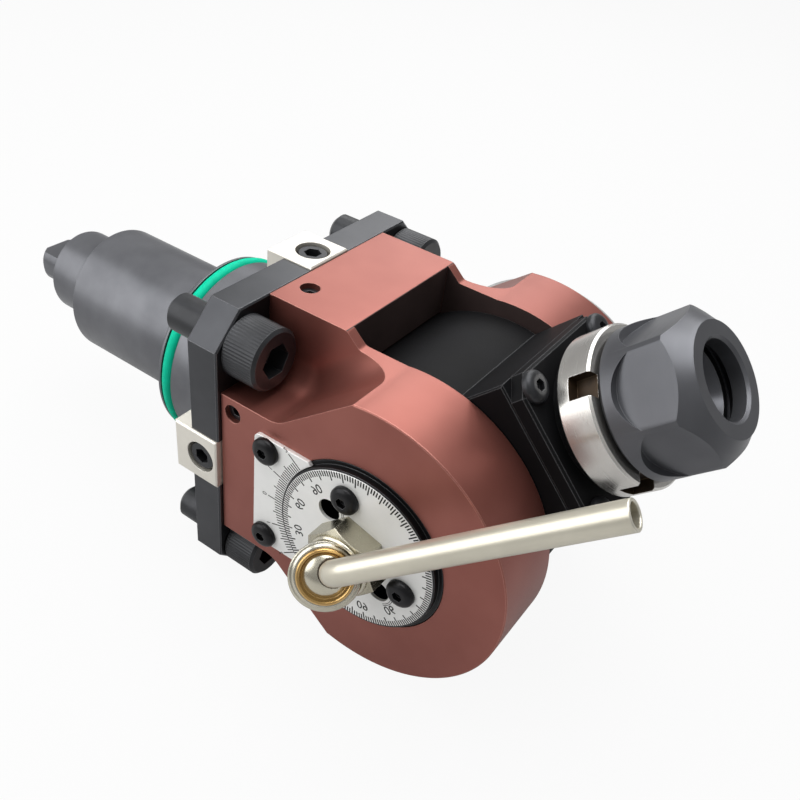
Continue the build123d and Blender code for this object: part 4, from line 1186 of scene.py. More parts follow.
    def rooms(self) -> list[bpy.types.Object]:
        """The bores inside: trunnion bores in both cheeks, and rooms for gears and layshaft.

        Returns:
            The cutting tools.
        """
        wheel, gear, inner = self.wheel_room, self.gear_room, self.window_half - SPARE
        made = [bar("bore", DIAL_SIDE, circle(self.near_bore), inner, self.dial_seat + OVERLAP),
                bar("bore", PIVOT, circle(self.far_bore), inner, wheel[1] + OVERLAP),
                bar("room", PIVOT, circle(wheel[0]), wheel[1], wheel[2]),
                bar("room", SHANK, circle(gear[0]), gear[1], gear[2])]
        layshaft = SHANK.at(self.layshaft_y)
        return made + [bar("room", layshaft, circle(radius, steps=MIDDLE_STEPS), low, high)
                       for radius, low, high in self.layshaft_rooms]

    def window_faces(self, body: bpy.types.Object) -> np.ndarray:
        """Which faces line the window: those with their middle between the cheeks.

        Args:
            body: The fork.

        Returns:
            One truth value for each face.
        """
        # These faces take a darker finish: painted shade inside the window.
        x, y, z = middles(body).T
        skin, slack = 0.5, 0.1
        below_top = np.abs(z) < self.half_height - skin
        past_block = x > self.block_front - slack
        between = (np.abs(y) < self.window_half + slack) & (x > self.seat_back)
        return between & (below_top | past_block)


@dataclass(frozen=True)
class Scale:
    """Engraved marks on a plate: thin bars and figures that stand a hair above its face."""

    place: Place
    height: float
    thickness: float = 0.03

    def ticks(self, degrees: np.ndarray, inner: np.ndarray, outer: np.ndarray,
              width: float) -> bpy.types.Object:
        """One bar per angle, as the corners of a box turned to its angle.

        Args:
            degrees: The bars' angles from across towards up.
            inner: Each bar's inner radius.
            outer: Each bar's outer radius.
            width: The bars' width.

        Returns:
            One piece that holds all bars.
        """
        ends = ((0, -1), (1, -1), (1, 1), (0, 1))
        corners = np.array([(a, b, c) for c in (0, 1) for a, b in ends], float)
        radius = inner[:, None] + (outer - inner)[:, None] * corners[:, 0]
        side = np.broadcast_to(corners[:, 1] * width / 2, radius.shape)
        height = np.broadcast_to(self.height + corners[:, 2] * self.thickness, radius.shape)
        angle = np.radians(degrees)[:, None]
        points = np.stack([radius * np.cos(angle) - side * np.sin(angle),
                           radius * np.sin(angle) + side * np.cos(angle), height], axis=-1)
        box = [(0, 3, 2, 1), (4, 5, 6, 7), (0, 1, 5, 4), (1, 2, 6, 5), (2, 3, 7, 6), (3, 0, 4, 7)]
        faces = [tuple(8 * k + i for i in face) for k in range(len(degrees)) for face in box]
        return clean(mesh_object("ticks", self.place.world(points).reshape(-1, 3), faces))

    def figure(self, number: int, radius: float, degrees: float, size: float) -> bpy.types.Object:
        """A plain number with its feet outwards, as a mesh set in the plate's frame.

        Args:
            number: The number to show.
            radius: How far its middle is from the frame's origin.
            degrees: Its angle from across towards up.
            size: The figure's size.

        Returns:
            The piece.
        """
        curve = bpy.data.curves.new("figure", "FONT")
        curve.body, curve.size = str(number), size
        curve.align_x, curve.align_y = "CENTER", "CENTER"
        curve.extrude, curve.resolution_u = self.thickness / 2, 3
        holder = linked("figure", curve)
        graph = bpy.context.evaluated_depsgraph_get()
        graph.update()
        mesh = bpy.data.meshes.new_from_object(holder.evaluated_get(graph))
        bpy.data.objects.remove(holder)
        flat = np.zeros(len(mesh.vertices) * 3)
        mesh.vertices.foreach_get("co", flat)
        local = flat.reshape(-1, 3)
        c, s = math.cos(math.radians(degrees)), math.sin(math.radians(degrees))
        placed = local[:, :2] @ np.array([(s, -c), (-c, -s)]) + radius * np.array([c, s])
        lift = local[:, 2] + self.height + self.thickness / 2
        mesh.vertices.foreach_set("co", self.place.world(np.column_stack([placed, lift])).ravel())
        mesh.update()
        return clean(linked("figure", mesh))


@dataclass(frozen=True)
class Dial:
    """The bevelled rim, the graduated disc and its screws."""

    face: float = 42.0
    rim_radius: float = 23.25
    rim_wall: float = 0.35
    rim_edge: float = 0.15
    rim_shoulder: float = 40.1
    rim_thickness: float = 3.5
    disc_radius: float = 21.7
    disc_gap: float = 0.1
    disc_top: float = 42.1
    disc_thickness: float = 0.8
    disc_edge: float = 0.12
    trunnion_radius: float = 19.0
    spigot_radius: float = 8.0
    spigot_length: float = 3.0
    head_half: float = 19.95
    hole_circle: float = 11.4
    hole_turns: tuple[float, float] = (-90.0, 90.0)
    hole_radius: float = 3.0
    bore_radius: float = 4.2
    bore_sink: float = 7.0
    screw_circle: float = 14.7
    screw_turns: tuple[float, float, float] = (60.0, 180.0, 300.0)
    screw: ButtonScrew = ButtonScrew(4.0, 6.5)
    tick_outer: float = 21.6
    tick_step: int = 2
    tick_width: float = 0.32
    short_tick: float = 1.5
    long_tick: float = 2.5
    figure_radius: float = 17.2
    figure_size: float = 3.5
    arc_radii: tuple[float, float] = (3.7, 4.15)
    arc_span: tuple[float, float] = (-62.0, 22.0)
    arc_width: float = 0.14

    def trunnion(self) -> bpy.types.Object:
        """The trunnion with its two screw bores; its bevelled flange is the rim about the disc.

        Returns:
            The piece.
        """
        base, recess = self.face - self.rim_thickness, self.disc_top - self.disc_thickness
        inner, rim, body = self.disc_radius + self.disc_gap, self.rim_radius, self.trunnion_radius
        wall, spigot, back = inner + self.rim_wall, self.spigot_radius, self.head_half
        end = back - self.spigot_length
        made = turned("dial_trunnion_and_rim", DIAL_SIDE, [
            (0.0, recess), (inner, recess), (inner, self.face), (wall, self.face - self.rim_edge),
            (wall, self.rim_shoulder), (rim, self.rim_shoulder), (rim, base), (body, base),
            (body, back), (spigot, back), (spigot, end), (0.0, end)])
        return cut(made, *self.bores(self.bore_radius, base - self.bore_sink))

    def bores(self, radius: float, floor: float) -> list[bpy.types.Object]:
        """Round tools for the two screw holes, from their floor to above the face."""
        centres = [self.from_nose(self.hole_circle, turn) for turn in self.hole_turns]
        return [bar("bore", DIAL_SIDE, circle(radius, centre, SMALL_STEPS), floor,
                    self.face + 3 * SPARE) for centre in centres]

    def disc(self) -> bpy.types.Object:
        """The disc with its two screw holes.

        Returns:
            The piece.
        """
        base = self.disc_top - self.disc_thickness
        body = bar("dial_disc", DIAL_SIDE, circle(self.disc_radius), base, self.disc_top,
                   self.disc_edge)
        return cut(body, *self.bores(self.hole_radius, base - SPARE))

    def from_nose(self, radius: float, turn: float) -> tuple[float, float]:
        """A point of the dial's plane, by its radius and its turn from the nose in degrees."""
        angle = math.radians(NOSE_DEGREES + turn)
        return (radius * math.cos(angle), radius * math.sin(angle))

    def screws(self) -> list[bpy.types.Object]:
        """The disc's three screws, one opposite the nose."""
        places = [self.from_nose(self.screw_circle, turn) for turn in self.screw_turns]
        return [self.screw.build("dial_screw", DIAL_SIDE.at(x, z, self.disc_top))
                for x, z in places]

    def graduations(self) -> bpy.types.Object:
        """A tick at each step, longer at tens, and a figure every thirty degrees from the zero.

        Returns:
            One piece with ticks, figures and the arcs beside the screw holes.
        """
        scale, zero = Scale(DIAL_SIDE, self.disc_top), NOSE_DEGREES + 180.0
        count = np.arange(0, 360, self.tick_step)
        length = np.where(count % 10 == 0, self.long_tick, self.short_tick)
        outer = np.full(len(count), self.tick_outer)
        marks = [scale.ticks(zero + count, self.tick_outer - length, outer, self.tick_width)]
        marks += [scale.figure(abs(value), self.figure_radius, zero + value, self.figure_size)
                  for value in range(-90, 91, 30)]
        for turn in self.hole_turns:
            marks += self.thin_arcs(turn, scale.thickness)
        return joined("dial_engraving", marks)

    def thin_arcs(self, turn: float, thickness: float) -> list[bpy.types.Object]:
        """The two thin engraved arcs beside a screw hole.

        Args:
            turn: The hole's turn from the nose.
            thickness: How far the arcs stand above the disc.

        Returns:
            The arcs.
        """
        centre = DIAL_SIDE.at(*self.from_nose(self.hole_circle, turn))
        start, end = self.arc_span
        made = []
        for radius in self.arc_radii:
            inner = arc((0, 0), radius, start, end, 16)
            outer = arc((0, 0), radius + self.arc_width, end, start, 16)
            made.append(bar("arc_mark", centre, np.concatenate([inner, outer])[::-1],
                            self.disc_top, self.disc_top + thickness))
        return made


@dataclass(frozen=True)
class Vernier:
    """The vernier plate beside the dial."""

    back: float = 21.0
    half_height: float = 17.5
    top: float = 41.2
    thickness: float = 1.0
    edge: float = 0.12
    inner_radius: float = 22.35
    trim: float = 1.8
    corner: float = 1.6
    screw_x: float = 25.0
    screw_z: float = 14.0
    screw: ButtonScrew = ButtonScrew(4.0, 6.5)
    zero: float = 180.0
    steps: int = 20
    pitch: float = 1.9
    tick_gap: float = 0.25
    tick_width: float = 0.26
    tick_lengths: tuple[float, float, float] = (4.6, 3.2, 2.4)
    figure_gap: float = 6.1
    figure_size: float = 1.9

    def plate(self) -> bpy.types.Object:
        """The plate: rounded back corners, clipped front ones, an inner edge struck from the pivot.

        The clip is a line at two to one through the tip. It meets the inner arc where its point
        offset + t direction is the arc's radius away from the pivot.

        Returns:
            The piece.
        """
        x, half, r = PIVOT_POINT[0], self.half_height, self.corner
        tip = x - math.sqrt(self.inner_radius ** 2 - half ** 2)
        clip = np.array([(tip - self.trim, half), (tip + self.trim, half - 2 * self.trim)])
        direction = unit(clip[1] - clip[0])
        offset = clip[0] - (x, 0.0)
        b = float(offset @ direction)
        reach = -b - math.sqrt(b * b - float(offset @ offset) + self.inner_radius ** 2)
        meet = clip[0] + direction * reach
        angle = math.degrees(math.atan2(meet[1], meet[0] - x))
        inner = arc((x, 0.0), self.inner_radius, angle, 360.0 - angle, 40)
        low = arc((self.back + r, -half + r), r, 270.0, 180.0, 6)
        high = arc((self.back + r, half - r), r, 180.0, 90.0, 6)
        outline = np.concatenate([[clip[0]], inner, [clip[0] * (1.0, -1.0)], low, high])
        return bar("vernier_plate", SIDE, outline[::-1], self.top - self.thickness, self.top,
                   self.edge)

    def screws(self) -> list[bpy.types.Object]:
        """The plate's two screws."""
        return [self.screw.build("vernier_screw", SIDE.at(self.screw_x, z, self.top))
                for z in (-self.screw_z, self.screw_z)]

    def graduations(self) -> bpy.types.Object:
        """Vernier ticks a little closer than the dial's, with figures either way from the zero.

        Returns:
            One piece with ticks and figures.
        """
        scale = Scale(DIAL_SIDE, self.top)
        count = np.arange(-self.steps, self.steps + 1)
        tens, fives, ones = self.tick_lengths
        length = np.where(count % 10 == 0, tens, np.where(count % 5 == 0, fives, ones))
        inner = np.full(len(count), self.inner_radius + self.tick_gap)
        marks = [scale.ticks(self.zero + count * self.pitch, inner, inner + length,
                             self.tick_width)]
        marks += [scale.figure(abs(value) // 10, self.inner_radius + self.figure_gap,
                               self.zero + value * self.pitch, self.figure_size)
                  for value in range(-self.steps, self.steps + 1, 10)]
        return joined("vernier_engraving", marks)


@dataclass(frozen=True)
class SwivelHead:
    """The drum and nose block, the front cover and its screws."""

    drum_radius: float = 35.0
    half_width: float = 19.95
    half_height: float = 19.5
    length: float = 43.3
    edge: float = 0.4
    cover_thickness: float = 3.7
    cover_edge: float = 0.6
    cover_clip: float = 4.3
    cover_bore: float = 15.5
    screw_place: float = 15.7
    screw: ButtonScrew = ButtonScrew(4.0, 10.7)
    pivot_rooms: tuple[tuple[float, float, float], ...] = (
        (14.5, -9.0, 16.5), (6.5, 15.5, 20.95), (8.0, -20.95, -16.75))
    nose_rooms: tuple[tuple[float, float, float], ...] = (
        (13.3, 2.0, 18.5), (14.0, 18.0, 28.5), (16.0, 28.0, 44.3))

    def housing(self) -> bpy.types.Object:
        """The drum and block as one outline square to the pivot: a long arc and three sides.

        Returns:
            The piece, with its rooms cut out.
        """
        wide, high = self.half_width, self.half_height
        meet = math.degrees(math.asin(high / self.drum_radius))
        drum = arc((0.0, 0.0), self.drum_radius, meet, 360.0 - meet, 150)
        outline = np.concatenate([drum, [(self.length, -high), (self.length, high)]])
        body = bar("head_housing", DIAL_SIDE.turned(NOSE_DEGREES), outline, -wide, wide,
                   self.edge, self.edge)
        rooms = [bar("room", place, circle(radius, steps=LARGE_STEPS), start, end)
                 for place, group in ((PIVOT, self.pivot_rooms), (NOSE, self.nose_rooms))
                 for radius, start, end in group]
        return cut(body, *rooms)

    def cover(self) -> bpy.types.Object:
        """The front cover with clipped corners.

        Returns:
            The piece.
        """
        wide, high, start = self.half_width, self.half_height, self.length
        outline = rectangle((-wide, -high), (wide, high), self.cover_clip)
        body = bar("front_cover", NOSE, outline, start, start + self.cover_thickness,
                   self.cover_edge)
        bore = circle(self.cover_bore, steps=LARGE_STEPS)
        return cut(body, bar("bore", NOSE, bore, start - SPARE, start + 9 * SPARE))

    def screws(self) -> list[bpy.types.Object]:
        """The cover's four screws."""
        face, reach = self.length + self.cover_thickness, self.screw_place
        return [self.screw.build("cover_screw", NOSE.at(a * reach, b * reach, face))
                for a, b in CORNERS]


@dataclass(frozen=True)
class Nose:
    """The wrench ring, spindle end, collet nut and the ring inside it.

    The profiles of the nut's front and mouth and of the taper ring are counted back from the
    nut's front: inwards from the nut's radius, outwards from its hole, inwards from the ring's.
    """

    shoulder: float = 13.5
    ring_start: float = 49.8
    ring_end: float = 58.0
    ring_radius: float = 18.5
    ring_edge: float = 0.5
    slot_count: int = 4
    slot_width: float = 5.2
    slot_depth: float = 5.0
    slot_floor: float = 15.4
    slot_degrees: float = 48.0
    slot_far: float = 30.0
    thread: float = 12.5
    thread_gap: float = 0.05
    spindle_end: float = 67.5
    spindle_gap: float = 0.4
    nut_start: float = 58.6
    nut_end: float = 77.2
    nut_radius: float = 17.0
    nut_edge: float = 1.0
    nut_front: tuple[tuple[float, float], ...] = ((0.0, 4.2), (4.0, 0.8), (4.6, 0.0))
    nut_mouth: tuple[tuple[float, float], ...] = ((0.6, 0.0), (0.0, 0.6), (0.0, 3.6), (2.6, 5.6))
    across_flats: float = 30.0
    hole: float = 8.6
    runout: float = 10.0
    flat_start: float = 61.8
    taper_radius: float = 11.15
    taper_profile: tuple[tuple[float, float], ...] = (
        (0.0, 5.9), (1.9, 5.9), (3.5, 8.6), (1.2, 9.0), (0.0, 9.0))

    def ring(self) -> bpy.types.Object:
        """The bright ring with its wrench slots open to the front.

        Returns:
            The piece.
        """
        r, e, start, end = self.ring_radius, self.ring_edge, self.ring_start, self.ring_end
        body = turned("wrench_ring", NOSE, [
            (self.shoulder, start), (r - e, start), (r, start + e), (r, end - e), (r - e, end),
            (self.shoulder, end)])
        half = self.slot_width / 2
        outline = rectangle((self.slot_floor, -half), (self.slot_far, half))
        turns = [self.slot_degrees + 360.0 / self.slot_count * k for k in range(self.slot_count)]
        return cut(body, *[bar("slot", NOSE.turned(turn), outline, end - self.slot_depth,
                               end + SPARE) for turn in turns])

    def slot_faces(self, body: bpy.types.Object) -> np.ndarray:
        """Which faces of the ring line its slots: behind the front face and inside the rim.

        Args:
            body: The ring.

        Returns:
            One truth value for each face.
        """
        # These faces take painted shade, dark as the inside of a slot.
        offset = middles(body) - PIVOT_POINT
        height = offset @ np.asarray(NOSE_AXIS)
        radius = np.linalg.norm(offset - height[:, None] * NOSE_AXIS, axis=1)
        skin, slack, floor_slack = 0.6, 0.1, 0.5
        bottom = self.ring_end - self.slot_depth
        deep = (height > bottom - slack) & (height < self.ring_end - skin)
        inside = (radius > self.slot_floor - floor_slack) & (radius < self.ring_radius - skin)
        return deep & inside

    def nut(self) -> bpy.types.Object:
        """The nut: a turned body with a conical front, less six flats whose inner ends are round.

        Returns:
            The piece.
        """
        r, h, start, end = self.nut_radius, self.hole, self.nut_start, self.nut_end
        inside, bottom = self.thread + self.thread_gap, self.spindle_end + self.spindle_gap
        front = [(r - inwards, end - back) for inwards, back in self.nut_front]
        mouth = [(h + outwards, end - back) for outwards, back in self.nut_mouth]
        body = turned("collet_nut", NOSE, [
            (inside, start), (r - self.nut_edge, start), (r, start + self.nut_edge), *front,
            *mouth, (mouth[-1][0], bottom), (inside, bottom)], NUT_STEPS)
        flat, round_end, far = self.across_flats / 2, self.runout, end + 5 * SPARE
        rounding = arc((0.0, self.flat_start + round_end), round_end, 180.0, 360.0, 40)
        outline = np.concatenate([rounding, [(round_end, far), (-round_end, far)]])
        flats = []
        for side in range(6):
            out = NOSE.turned(60.0 * side)
            facing = Place(out.origin, out.across, tuple(out.up))
            flats.append(bar("flat", facing, outline * (1.0, -1.0), flat, flat + 10 * SPARE))
        return cut(body, *flats)

    def taper_ring(self) -> bpy.types.Object:
        """The ring inside the nut that bears on the collet's taper."""
        return turned("taper_ring", NOSE, [(self.taper_radius - inwards, self.nut_end - back)
                                           for inwards, back in self.taper_profile], LARGE_STEPS)


@dataclass(frozen=True)
class Nozzle:
    """The coolant nozzle: a hexagon with a seat, and a ball with its brass ring, dome and tube.

    The ball is turned in its seat, so that its ring looks up and to the side as in the
    photograph. Heights along the ball's own axis are counted from the plane of the brass ring.
    """

    seat: float = 42.1
    across_flats: float = 17.4
    turn: float = -15.0
    hexagon_height: float = 6.0
    cone_height: float = 1.6
    cone_spread: float = 2.6
    cone_top: float = 0.2
    bore_floor: float = 1.5
    ball_gap: float = 0.05
    collar_radius: float = 8.1
    collar_height: float = 0.8
    collar_edge: float = 0.4
    ball_radius: float = 8.45
    ball_place: float = 53.0
    ring_place: tuple[float, float, float] = (53.5, -53.6, 0.9)
    ring_axis: tuple[float, float, float] = (0.494, -0.703, 0.512)
    step_radius: float = 7.6
    step_drop: float = 0.6
    step_edge: float = 0.4
    brim: tuple[tuple[float, float], ...] = ((-0.3, 1.1), (0.6, 2.0))
    ball_far: float = 12.0
    bed_gap: float = 0.3
    bed_depth: float = 4.0
    ring_radius: float = 6.75
    ring_crown: float = 0.5
    ring_sink: float = 0.3
    ring_depth: float = 3.8
    mouth_flare: float = 0.15
    mouth_lip: float = 0.2
    dome_edge: float = 5.2
    dome_radius: float = 9.0
    dome_sink: float = 0.9
    dome_depth: float = 3.6
    tube_radius: float = 3.0
    tube_wall: float = 0.7
    tube_edge: float = 0.15
    root_radius: float = 3.5
    root_floor: float = 1.2
    tube_bend: float = 8.0
    tube_start: tuple[float, float, float] = (53.4, -50.4, -0.3)
    tube_corner: tuple[float, float, float] = (58.65, -58.58, 10.25)
    tube_end: tuple[float, float, float] = (108.2, -45.0, 50.7)

    @property
    def head(self) -> Place:
        """The ball's own frame, with its origin in the plane of the brass ring."""
        along = unit(np.asarray(self.ring_axis))
        return Place(self.ring_place, tuple(unit(np.cross((0.0, 1.0, 0.0), along))), tuple(along))

    def fitting(self) -> bpy.types.Object:
        """The hexagon with its corners turned off towards the ball, and the ball's bore.

        Returns:
            The piece.
        """
        low, top, r = self.seat, self.seat + self.hexagon_height, self.across_flats / 2
        wide, lid = r + self.cone_spread, top + HAIR
        body = bar("coolant_fitting", DIAL_SIDE.turned(self.turn), hexagon(self.across_flats),
                   low, top)
        cone = turned("cone", DIAL_SIDE, [
            (0, low - SPARE), (wide, low - SPARE), (wide, top - self.cone_height),
            (r - self.cone_top, lid), (0, lid)], LARGE_STEPS)
        body = combine(body, [cone], "INTERSECT")
        bore = circle(self.ball_reach(top), steps=LARGE_STEPS)
        return cut(body, bar("bore", DIAL_SIDE, bore, low + self.bore_floor, top + SPARE))

    def ball_reach(self, height: float) -> float:
        """The radius that the ball needs about the swing axis, at a height along it."""
        half_chord = math.sqrt(self.ball_radius ** 2 - (self.ball_place - height) ** 2)
        return half_chord + self.ball_gap

    def collar(self) -> bpy.types.Object:
        """The ring that holds the ball in the hexagon.

        Returns:
            The piece.
        """
        back, r, e = self.seat + self.hexagon_height, self.collar_radius, self.collar_edge
        front = back + self.collar_height
        return turned("nozzle_collar", DIAL_SIDE, [
            (self.ball_reach(back), back), (r, back), (r, front - e), (r - e, front),
            (self.ball_reach(front), front)], LARGE_STEPS)

    def ball(self) -> bpy.types.Object:
        """The ball, cut flat at its front by two steps that end at the brass ring.

        Returns:
            The piece.
        """
        half = arc((0.0, self.ball_place), self.ball_radius, -90.0, 90.0, 48)
        body = turned("coolant_ball", DIAL_SIDE, [*map(tuple, half)])
        bed, step = self.ring_radius - self.bed_gap, self.step_radius
        drop, far = self.step_drop, self.ball_far
        brim = [(self.ball_radius + outwards, -down) for outwards, down in self.brim]
        front = turned("front", self.head, [
            (0.0, -self.bed_depth), (bed, -self.bed_depth), (bed, -drop),
            (step - self.step_edge, -drop), (step, -drop - self.step_edge), *brim,
            (far, brim[-1][1]), (far, far), (0.0, far)])
        return cut(body, front)

    def brass(self) -> bpy.types.Object:
        """The brass ring: rounded at its front, with a flared mouth that ends on the dome.

        Returns:
            The piece.
        """
        outer, crown, low = self.ring_radius, self.ring_crown, -self.ring_depth
        inner, flare, sink = self.dome_edge - self.bed_gap, self.mouth_flare, -self.dome_sink
        rounding = arc((outer - crown, -self.ring_sink), crown, 0.0, 180.0, 12)
        return turned("nozzle_brass_ring", self.head, [
            (inner, low), (outer, low), *map(tuple, rounding), (self.dome_edge + flare, sink),
            (inner, sink - self.mouth_lip)])

    def dome(self) -> bpy.types.Object:
        """The bright dome inside the brass ring, which the tube leaves.

        Returns:
            The piece, with the gap about the tube's root.
        """
        edge, radius, low = self.dome_edge, self.dome_radius, -self.dome_depth
        centre = -self.dome_sink - math.sqrt(radius ** 2 - edge ** 2)
        reach = math.degrees(math.asin(edge / radius))
        cap = arc((0.0, centre), radius, 90.0 - reach, 90.0, 24)
        body = turned("dome", self.head, [(0.0, low), (edge, low), *map(tuple, cap)],
                      LARGE_STEPS)
        start, along = self.root()
        place = Place(tuple(start), tuple(np.cross(along, (0.0, 0.0, 1.0))), tuple(along))
        hole = circle(self.root_radius, steps=MIDDLE_STEPS)
        return cut(body, bar("hole", place, hole, self.root_floor, 12 * SPARE))

    def root(self) -> tuple[np.ndarray, np.ndarray]:
        """The tube's start and its first direction."""
        start = np.asarray(self.tube_start)
        return start, unit(np.asarray(self.tube_corner) - start)

    def root_faces(self, body: bpy.types.Object) -> np.ndarray:
        """Which faces of the dome line the gap about the tube's root.

        Args:
            body: The dome.

        Returns:
            One truth value for each face.
        """
        # These faces take painted shade, dark as the shadow in the gap about the tube.
        start, along = self.root()
        slack = 0.02
        away = np.linalg.norm(np.cross(middles(body) - start, along), axis=1)
        return away < self.root_radius + slack

    def tube(self) -> bpy.types.Object:
        """The tube: rings carried along a line, an arc and a line, out and back inside.

        The arc's centre is on the bisector of the two lines, at radius / sin(half the angle)
        from the corner. Each ring is p + r (n cos t + b sin t), with b square to the bend's plane.

        Returns:
            The piece.
        """
        start, corner, end = map(np.asarray, (self.tube_start, self.tube_corner, self.tube_end))
        first, second = unit(start - corner), unit(end - corner)
        half = math.acos(float(first @ second)) / 2
        centre = corner + unit(first + second) * self.tube_bend / math.sin(half)
        side = unit(np.cross(-first, second))
        spoke = corner + first * self.tube_bend / math.tan(half) - centre
        angles = np.linspace(0.0, math.pi - 2 * half, 25)[:, None]
        bend = centre + spoke * np.cos(angles) + np.cross(side, spoke) * np.sin(angles)
        swing = -first * np.cos(angles) + np.cross(side, -first) * np.sin(angles)
        path = np.concatenate([[start], bend, [end - self.tube_edge * second, end]])
        along = np.concatenate([[-first], swing, [second, second]])
        outer = np.full(len(path), self.tube_radius)
        inner = np.full(len(path), self.tube_radius - self.tube_wall)
        outer[-1] -= self.tube_edge
        inner[-1] += self.tube_edge
        around = np.radians(np.arange(MIDDLE_STEPS) * 360.0 / MIDDLE_STEPS)[:, None]
        rings = [p + r * (np.cross(side, t) * np.cos(around) + side * np.sin(around))
                 for p, t, r in [*zip(path, along, outer),
                                 *zip(path[::-1], along[::-1], inner[::-1])]]
        rings.append(rings[0])
        return clean(mesh_object("coolant_tube", np.concatenate(rings) * MM,
                                 grid_faces(len(rings), MIDDLE_STEPS)))


@dataclass(frozen=True)
class GearCover:
    """The round cover on the far cheek with its screws."""

    radius: float = 32.5
    base: float = 40.2
    height: float = 13.0
    chamfer: float = 2.0
    screw_count: int = 6
    screw_circle: float = 28.5
    screw: CapScrew = CapScrew(4.0, 15.6, 4.0, 32, 0.05)
    bore_radius: float = 3.6
    bore_depth: float = 4.4
    rooms: tuple[tuple[float, float, float], ...] = ((24.5, 39.2, 44.3), (11.0, 43.3, 50.3))

    def body(self) -> bpy.types.Object:
        """The cover's turned body with its counterbores and the rooms for wheel and bearing.

        Returns:
            The piece.
        """
        base, top, r, c = self.base, self.base + self.height, self.radius, self.chamfer
        made = turned("gear_cover", PIVOT, [(0, base), (r, base), (r, top - c), (r - c, top),
                                            (0, top)], RIM_STEPS)
        bore = circle(self.bore_radius, steps=TINY_STEPS)
        bores = [bar("bore", place, bore, top - self.bore_depth, top + SPARE)
                 for place in self.places()]
        rooms = [bar("room", PIVOT, circle(radius), low, high) for radius, low, high in self.rooms]
        return cut(made, *bores, *rooms)

    def places(self) -> list[Place]:
        """The screws' frames, with heights counted from the pivot's plane."""
        return [PIVOT.turned(360.0 / self.screw_count * k).at(self.screw_circle)
                for k in range(self.screw_count)]

    def screws(self) -> list[bpy.types.Object]:
        """The cover's screws."""
        floor = self.base + self.height - self.bore_depth
        return [self.screw.build("gear_cover_screw", place.at(0, 0, floor))
                for place in self.places()]


# Studio


